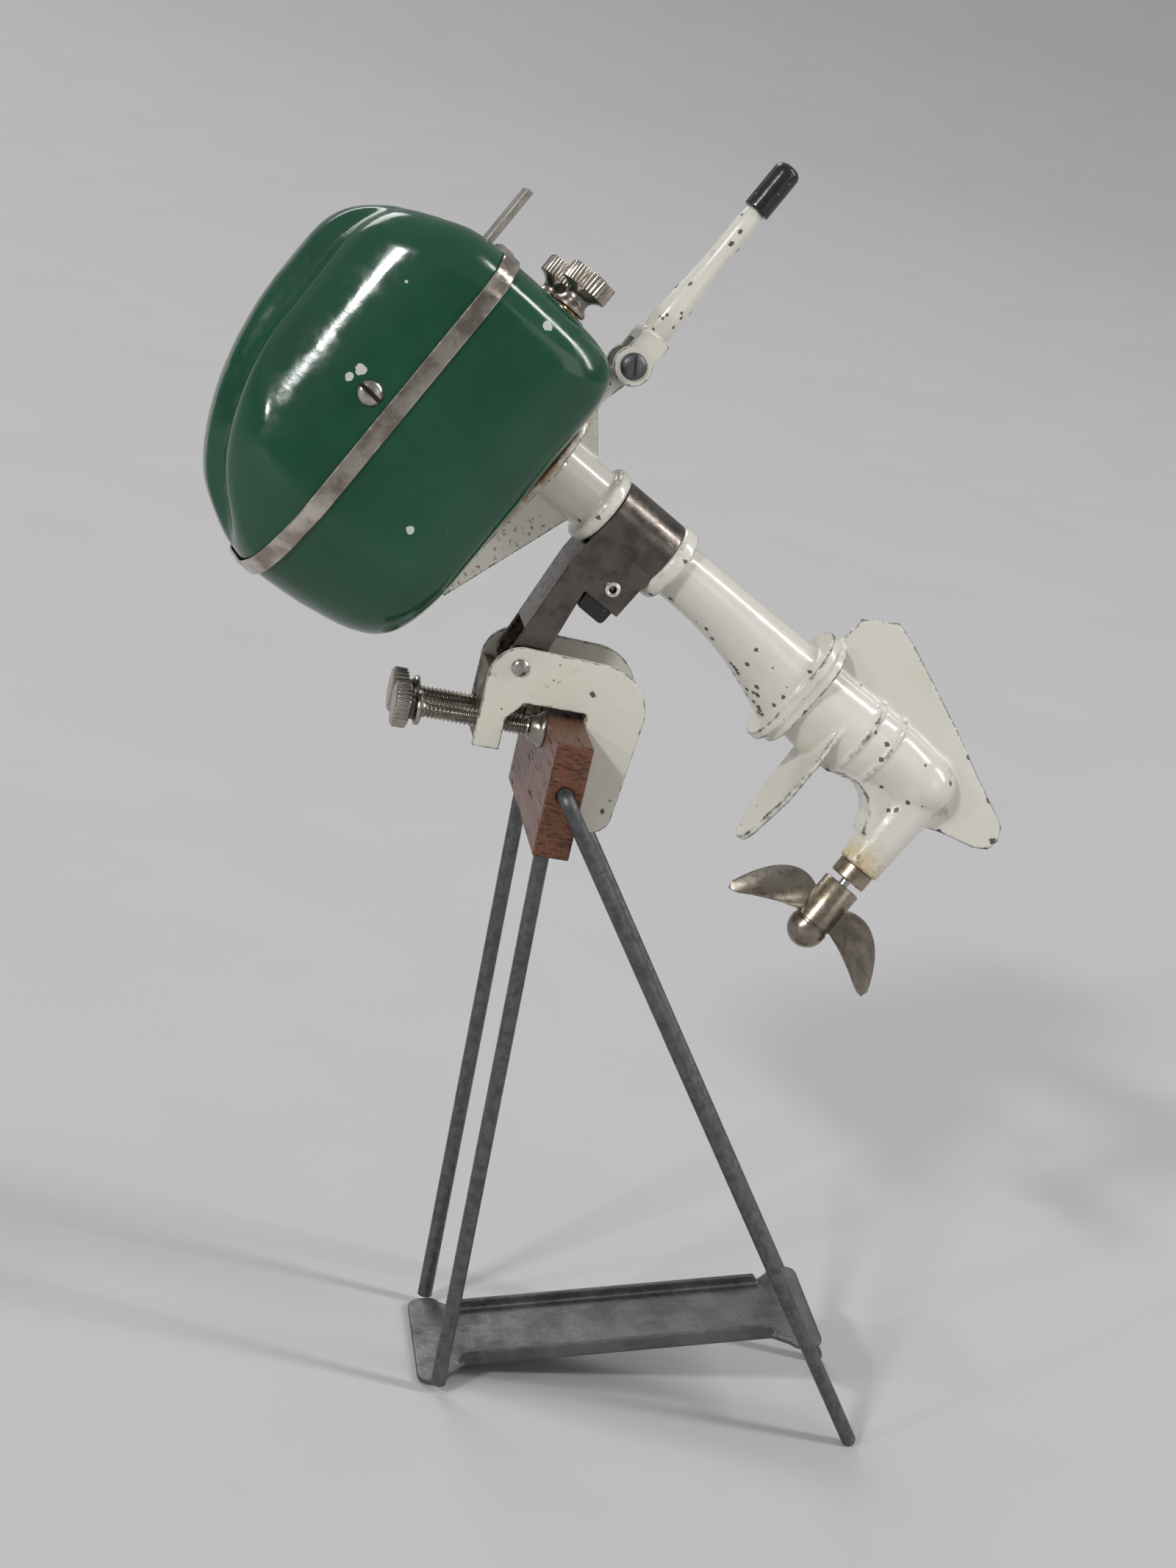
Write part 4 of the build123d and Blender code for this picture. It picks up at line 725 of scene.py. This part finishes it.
def make_terminals():
    """Fibre washers, hexagon nuts and knurled thumb nuts on the two battery studs."""
    washers, nuts = [], []
    for side in (-1, 1):
        spot = Matrix.Translation((TERMINAL_X, side * TERMINAL_Y, TERMINAL_Z)) @ ALONG_X
        washers.append(ring_shell([(16.7, STUD_RADIUS), (16.7, 3.2), (16.85, 3.35), (17.75, 3.35),
                                   (17.9, 3.2), (17.9, STUD_RADIUS)], 64, spot))
        twist = spot @ Matrix.Rotation(math.radians(12 + 25 * side), 4, "Z")
        nuts.append(turned([(17.95, STUD_RADIUS), (17.95, 3.0), (18.2, 3.35), (19.1, 3.35), (19.35, 3.0),
                            (19.35, STUD_RADIUS)], 72, hexagon(5.8, 3.35), twist))
    make_piece("terminal_washer_rings", washers, MOTOR, "motor", FIBRE,
               ("terminal_washers",))
    make_piece("terminal_hexagon_nuts", nuts, MOTOR, "motor", SCREW_NICKEL,
               ("terminal_hex_nuts",), 20.0)
    profile = [(25.15, STUD_RADIUS), (19.65, STUD_RADIUS), (19.65, 2.4), (19.8, 2.65), (20.2, 2.7),
               (20.45, 2.5),
               (20.9, 2.1), (21.3, 1.9), (21.9, 1.95), (22.4, 2.3), (22.8, 2.9), (23.0, 3.4),
               (23.15, 3.75), (23.3, 3.78), (25.75, 3.78), (25.9, 3.6), (25.95, 3.3), (25.7, 2.4)]
    for name, side in (("near", -1), ("far", 1)):
        nut = turned(profile, 240, knurl(40, 0.22, 23.1, 25.88))
        place = MOTOR @ Matrix.Translation((TERMINAL_X, side * TERMINAL_Y, TERMINAL_Z)) @ ALONG_X
        make_piece(name + "_knurled_nut", [nut], place, name + "_nut",
                   SCREW_NICKEL, (name + "_thumb_nut",))


def dome(low, radius, height, shank, shank_end):
    """A domed head standing on low, then its shank running back to shank_end."""
    profile = []
    for i in range(9):
        a = math.pi / 2 * i / 8
        profile.append((low + height * math.cos(a), max(0.02, radius * math.sin(a) ** 0.8)))
    return profile + [(low, radius * 0.98), (low, shank), (shank_end, shank)]


def slotted(name, place, profile, head, slot_angle, body, material, replaces=()):
    """A turned screw with a slot of head = (depth, top, width) sawn across it.

    With no material it gets a nickel of its own, with painted shade in the slot."""
    depth, top, wide = head
    turn = Matrix.Rotation(math.radians(slot_angle), 4, "Z")
    if material is None:
        material = nickel(name + "_nickel", (0.46, 0.43, 0.385), 0.26, 0.1, 0.2, (place @ turn, wide))
    obj = make_piece(name, [turned(profile, 48)], place, body, material, replaces)
    cut(obj, [block(-5, 5, -wide / 2, wide / 2, top - depth, top + 2)], place @ turn)
    return obj


def make_motor_screws():
    """Side screws of the cowl and the tiller's pivot screw."""
    for name, side in (("near", -1), ("far", 1)):
        flip = Matrix.Rotation(math.pi if side < 0 else 0.0, 4, "X")
        place = MOTOR @ Matrix.Translation((SIDE_SCREW_X, 0, SIDE_SCREW_Z)) @ ALONG_Y @ flip
        slotted(name + "_cowl_side_screw", place, dome(18.85, 1.9, 0.95, 0.85, 15.4), (0.7, 19.8, 0.65),
                SIDE_SCREW_SLOT, "motor", None,
                ("cowl_side_screws",) if side < 0 else ())
    flip = Matrix.Rotation(math.pi, 4, "X")
    place = MOTOR @ Matrix.Translation((TILLER_SCREW_X, 0, TILLER_SCREW_Z)) @ ALONG_Y @ flip
    slotted("tiller_pivot_pan_screw", place, dome(2.95, 2.05, 1.0, 0.8, -3.4), (0.5, 3.95, 0.5),
            TILLER_SCREW_SLOT, "motor", WIRE, ("tiller_pivot_screw",))


def make_rivets():
    """The tilt rivet's domed heads and the hollow eyelet of the strap."""
    place = STAND @ Matrix.Translation((-13.2, 0, 117.9)) @ ALONG_Y
    heads = dome(6.2, 1.4, 0.75, 0.9, 0.0)
    other = [(-z, r) for z, r in reversed(heads[:-1])]
    make_piece("tilt_rivet_domed", [turned(heads[:-1] + other, 40)], place, "stand",
               RIVET, ("tilt_rivet",))
    place = STRAP @ Matrix.Translation((-7.9, 0, -2.1)) @ ALONG_Y
    end = [(5.0, 0.55), (5.25, 0.62), (5.32, 0.85), (5.22, 1.15), (5.0, 1.25), (4.9, 1.1), (4.9, 0.9)]
    loop = [(-z, r) for z, r in end] + end[::-1]
    make_piece("strap_eyelet_rolled", [ring_shell(loop, 40)], place, "swivel", RIVET,
               ("strap_eyelet",))


# ---- propeller --------------------------------------------------------------------------------
# radius, chord, pitch angle in degrees, X of the middle, skew along the chord, thickness
BLADE_STATIONS = [(2.4, 4.8, 126, -25.6, 0.0, 1.2), (4.4, 7.6, 134, -25.9, -0.4, 0.95),
                  (6.3, 9.4, 140, -26.4, -0.7, 0.8), (8.3, 10.2, 144, -27.3, -0.7, 0.72),
                  (10.2, 9.6, 147, -28.5, -0.5, 0.66), (11.8, 7.8, 149, -29.9, -0.2, 0.6),
                  (13.0, 5.2, 151, -31.1, 0.0, 0.5), (13.7, 2.4, 152, -31.8, 0.0, 0.4)]
BLADE_TURN = math.radians(-16)


def blade_shell(turn):
    """One broad swept blade, twisted from root to tip and hollowed a little on its working face."""
    rings = []
    for t in steps(0, len(BLADE_STATIONS) - 1, 36):
        radius, chord, pitch, middle, skew, thick = curve_through(BLADE_STATIONS, t)
        slant = math.radians(90 + pitch)
        ring = []
        for j in range(32):
            a = TURN * j / 32
            across = math.cos(a)
            u = skew + chord / 2 * across
            v = thick / 2 * math.sin(a) + 0.35 * (1 - across ** 2)
            x = middle + u * math.cos(slant) - v * math.sin(slant)
            y = u * math.sin(slant) + v * math.cos(slant)
            ring.append(Matrix.Rotation(turn, 3, "X") @ Vector((x, y, radius)))
        rings.append(ring)
    return rings_to_shell(rings)


def make_propeller():
    """Round-nosed hub, its set screw, the collar behind the snout and two blades."""
    place = MOTOR @ Matrix.Translation((0, 0, -62.8))
    hub = [(-20.7, 2.8), (-20.8, 3.1), (-21.0, 3.2), (-28.1, 3.2), (-28.25, 3.0), (-28.6, 3.0),
           (-28.75, 3.18), (-29.4, 3.18)]
    hub += [(-29.4 - 3.18 * math.sin(a), max(0.03, 3.18 * math.cos(a)))
            for a in steps(0.1, math.pi / 2, 12)]
    make_piece("propeller_hub_turned", [turned(hub, 64)], place @ ALONG_X, "propeller",
               PROP_NICKEL, ("propeller_hub",))
    collar = [(-17.1, 0.86), (-17.1, 2.9), (-17.25, 3.05), (-19.5, 3.05), (-19.7, 2.85), (-19.7, 0.86)]
    make_piece("propeller_collar_ring", [ring_shell(collar, 64)], place @ ALONG_X, "motor",
               PROP_NICKEL, ("propeller_bearing_collar",))
    blades = [blade_shell(BLADE_TURN), blade_shell(BLADE_TURN + math.pi)]
    make_piece("propeller_blade_pair", blades, place, "propeller", PROP_NICKEL,
               ("propeller_blades",), 40.0)
    screw_place = place @ Matrix.Translation((-22.6, 0, 0))
    slotted("hub_grub_screw", screw_place, [(0.85, 0.6), (3.15, 0.6), (3.25, 0.5)], (0.35, 3.25, 0.25),
            20, "propeller", STEEL, ("hub_set_screw",))


# ---- the rest ---------------------------------------------------------------------------------
def soften_cad_shapes():
    """CAD shapes that are right but too crisp get eased edges."""
    tray = STAND @ Matrix.Translation((-4.9, 0, 0)) @ Matrix.Rotation(math.radians(-14.5), 4, "Y")
    # body, slot, material, CAD node, local frame, voxel, smoothing rounds, new name, share of faces kept
    rows = [
        ("motor", "enamel_white", CASTING, "leg_casting", MOTOR, 0.26, 5, "leg_casting_skin", 0.6),
        ("stand", "bracket_white", BRACKET, "clamp_bracket", STAND, 0.17, 4, "clamp_bracket_pressing", 0.6),
        ("swivel", "tarnished_nickel", STRAP_METAL, "swivel_strap", STRAP, 0.13, 4, "swivel_strap_strip", 0.5),
        ("stand", "stand_sheet", SHEET, "base_tray", tray, 0.22, 4, "base_tray_sheet", 0.5),
        ("stand", "wood", WOOD, "transom_block", STAND, 0.22, 2, "transom_block_wood", 0.6),
        ("tiller", "enamel_white", TILLER_PAINT, "tiller_handle", MOTOR, 0.16, 5, "tiller_handle_bar", 0.6),
        ("tiller", "black_grip", GRIP, "tiller_grip", MOTOR, 0.16, 4, "tiller_grip_sleeve", 0.6),
        ("swivel", "black_rubber", RUBBER, "tilt_stop_pad", STRAP, 0.16, 6, "tilt_stop_rubber", 0.6),
        ("lever", "tarnished_nickel", LEVER, "switch_lever", MOTOR, 0.13, 3, "switch_lever_strip", 0.6),
        ("stand", "brown_steel", BROWN, "clamp_screw_plate", STAND, 0.16, 2, "clamp_screw_plate_steel", 0.6),
    ]
    for body, slot, material, node, place, voxel, rounds, name, keep in rows:
        softened(node, place, voxel, rounds, name, body, material, keep)


def dress_cad_nodes():
    """Better materials on the CAD nodes that stay in view or inside the cowl."""
    wear = {"stand_wire": WIRE, "plain_steel": STEEL, "brass": BRASS, "copper": COPPER, "magnet": IRON,
            "core_iron": STEEL, "carbon": GRIP, "insulation": LEAD, "cap_moulding": MOULDING,
            "red_fibre": FIBRE, "tarnished_nickel": SCREW_NICKEL, "bright_trim": BRIGHT}
    for row in frame["record"]["subparts"]:
        node, material = frame["nodes"][row["node"]], wear.get(row["material_slot"])
        if material:
            for spot in node.material_slots:
                spot.material = material


# ---- materials in use -------------------------------------------------------------------------
GREEN = green_lacquer()
CASTING = casting_enamel()
BRACKET = white_enamel("bracket_enamel", (0.60, 0.58, 0.50), 0.7).material
TILLER_PAINT = white_enamel("tiller_enamel", (0.61, 0.595, 0.525), 0.6).material
STRAP_METAL = nickel("strap_tarnished_nickel", (0.145, 0.127, 0.112), 0.27, 0.25)
SCREW_NICKEL = nickel("screw_nickel", (0.42, 0.385, 0.34), 0.26, 0.1, 0.2)
PROP_NICKEL = nickel("propeller_nickel", (0.30, 0.262, 0.215), 0.27, 0.15, 0.2)
LEVER = sheet_steel("lever_rusty_steel", (0.36, 0.34, 0.30))
BRIGHT = bright_plate("band_bright_plate", (0.60, 0.555, 0.475), 0.13)
RIVET = bright_plate("rivet_bright_plate", (0.78, 0.77, 0.75), 0.22)
WIRE = wire_steel()
SHEET = sheet_steel()
BROWN = sheet_steel("plate_brown_steel", (0.16, 0.105, 0.07))
WOOD = hardwood()
RUBBER = black_matter("pad_rubber", 0.6, 0.8)
GRIP = black_matter("grip_black", 0.2, 1.2)
FIBRE = fibre_board("red_fibre_board")
LEAD = fibre_board("lead_insulation", (0.22, 0.02, 0.015))
MOULDING = fibre_board("brown_moulding", (0.05, 0.025, 0.015))
STEEL = plain_metal("turned_steel", (0.52, 0.52, 0.52))
BRASS = plain_metal("dull_brass", (0.55, 0.38, 0.15), 0.34)
COPPER = plain_metal("enamelled_copper", (0.52, 0.21, 0.09), 0.3)
IRON = plain_metal("dark_iron", (0.10, 0.10, 0.11), 0.5)


# ---- studio -----------------------------------------------------------------------------------
def make_floor():
    """A plain pale floor that curves up far behind."""
    shader = Shader("studio_floor", (0.46, 0.455, 0.46), 0.85)
    shader.over(shader.ramp(shader.noise(60.0, 3.0), 0.35, 0.7), (0.45, 0.445, 0.45))
    rings = [(0.8, 0.0), (1.6, 0.0), (2.4, 0.02), (3.2, 0.14), (4.0, 0.5), (4.6, 1.1), (4.9, 1.8)]
    count = 96
    points = [(r * math.cos(TURN * j / count), r * math.sin(TURN * j / count), z)
              for r, z in rings for j in range(count)] + [(0, 0, 0)]
    faces = [(i * count + j, (i + 1) * count + j, (i + 1) * count + (j + 1) % count,
              i * count + (j + 1) % count) for i in range(len(rings) - 1) for j in range(count)]
    faces += [(len(points) - 1, j, (j + 1) % count) for j in range(count)]
    mesh = bpy.data.meshes.new("floor")
    mesh.from_pydata(points, [], faces)
    mesh.shade_smooth()
    mesh.materials.append(shader.material)
    floor = bpy.data.objects.new("floor", mesh)
    bpy.context.scene.collection.objects.link(floor)


def area_light(name, place, target, size, power, colour=(1, 1, 1)):
    """A soft box aimed at a point."""
    data = bpy.data.lights.new(name, "AREA")
    data.shape = "RECTANGLE"
    data.size, data.size_y = size
    data.energy = power
    data.color = colour
    lamp = bpy.data.objects.new(name, data)
    lamp.location = place
    lamp.rotation_euler = (Vector(target) - Vector(place)).to_track_quat("-Z", "Y").to_euler()
    bpy.context.scene.collection.objects.link(lamp)


def make_lights():
    """Soft studio light from the left front, with a strip, a fill and a back light."""
    target = (0, 0, 0.11)
    area_light("key_softbox", (-1.9, -2.0, 1.8), target, (0.36, 0.13), 46.0)
    area_light("low_softbox", (-2.4, -1.5, 1.1), target, (0.18, 0.10), 12.0)
    area_light("window_strip", (2.2, -0.5, 1.9), target, (0.35, 2.0), 42.0)
    area_light("fill_softbox", (2.2, -2.4, 0.9), target, (1.6, 1.6), 10.0, (0.97, 0.98, 1.0))
    area_light("back_softbox", (-1.2, 2.4, 2.2), target, (1.8, 1.2), 34.0)
    world = bpy.data.worlds.new("studio")
    world.use_nodes = True
    world.node_tree.nodes["Background"].inputs["Color"].default_value = (0.70, 0.70, 0.71, 1)
    world.node_tree.nodes["Background"].inputs["Strength"].default_value = 0.56
    bpy.context.scene.world = world
    bpy.context.scene.view_settings.view_transform = "Standard"


def make_camera():
    """The camera's turn, height and roll are those that the object was seen at."""
    height, turn, roll = math.radians(17.0), math.radians(11.3), math.radians(13.3)
    across = Vector((math.cos(turn), -math.sin(turn), 0))
    ahead = Vector((math.sin(turn) * math.cos(height), math.cos(turn) * math.cos(height),
                    -math.sin(height)))
    above = across.cross(ahead)
    right = across * math.cos(roll) + above * math.sin(roll)
    up = above * math.cos(roll) - across * math.sin(roll)
    data = bpy.data.cameras.new("camera")
    data.sensor_width = 36.0
    data.lens = 67.5
    data.clip_start, data.clip_end = 0.01, 20.0
    camera = bpy.data.objects.new("camera", data)
    turned_to = Matrix((right, up, -ahead)).transposed().to_4x4()
    spot = SLEEVE + Vector((-0.08293, -0.42587, 0.09262))
    camera.matrix_world = Matrix.Translation(spot) @ turned_to
    bpy.context.scene.collection.objects.link(camera)
    bpy.context.scene.camera = camera


make_cowl()
make_trim_band()
for side_name, side in (("near", -1), ("far", 1)):
    make_clamp_screw(side_name, side)
make_terminals()
make_motor_screws()
make_rivets()
make_propeller()
soften_cad_shapes()
dress_cad_nodes()
make_floor()
make_lights()
make_camera()
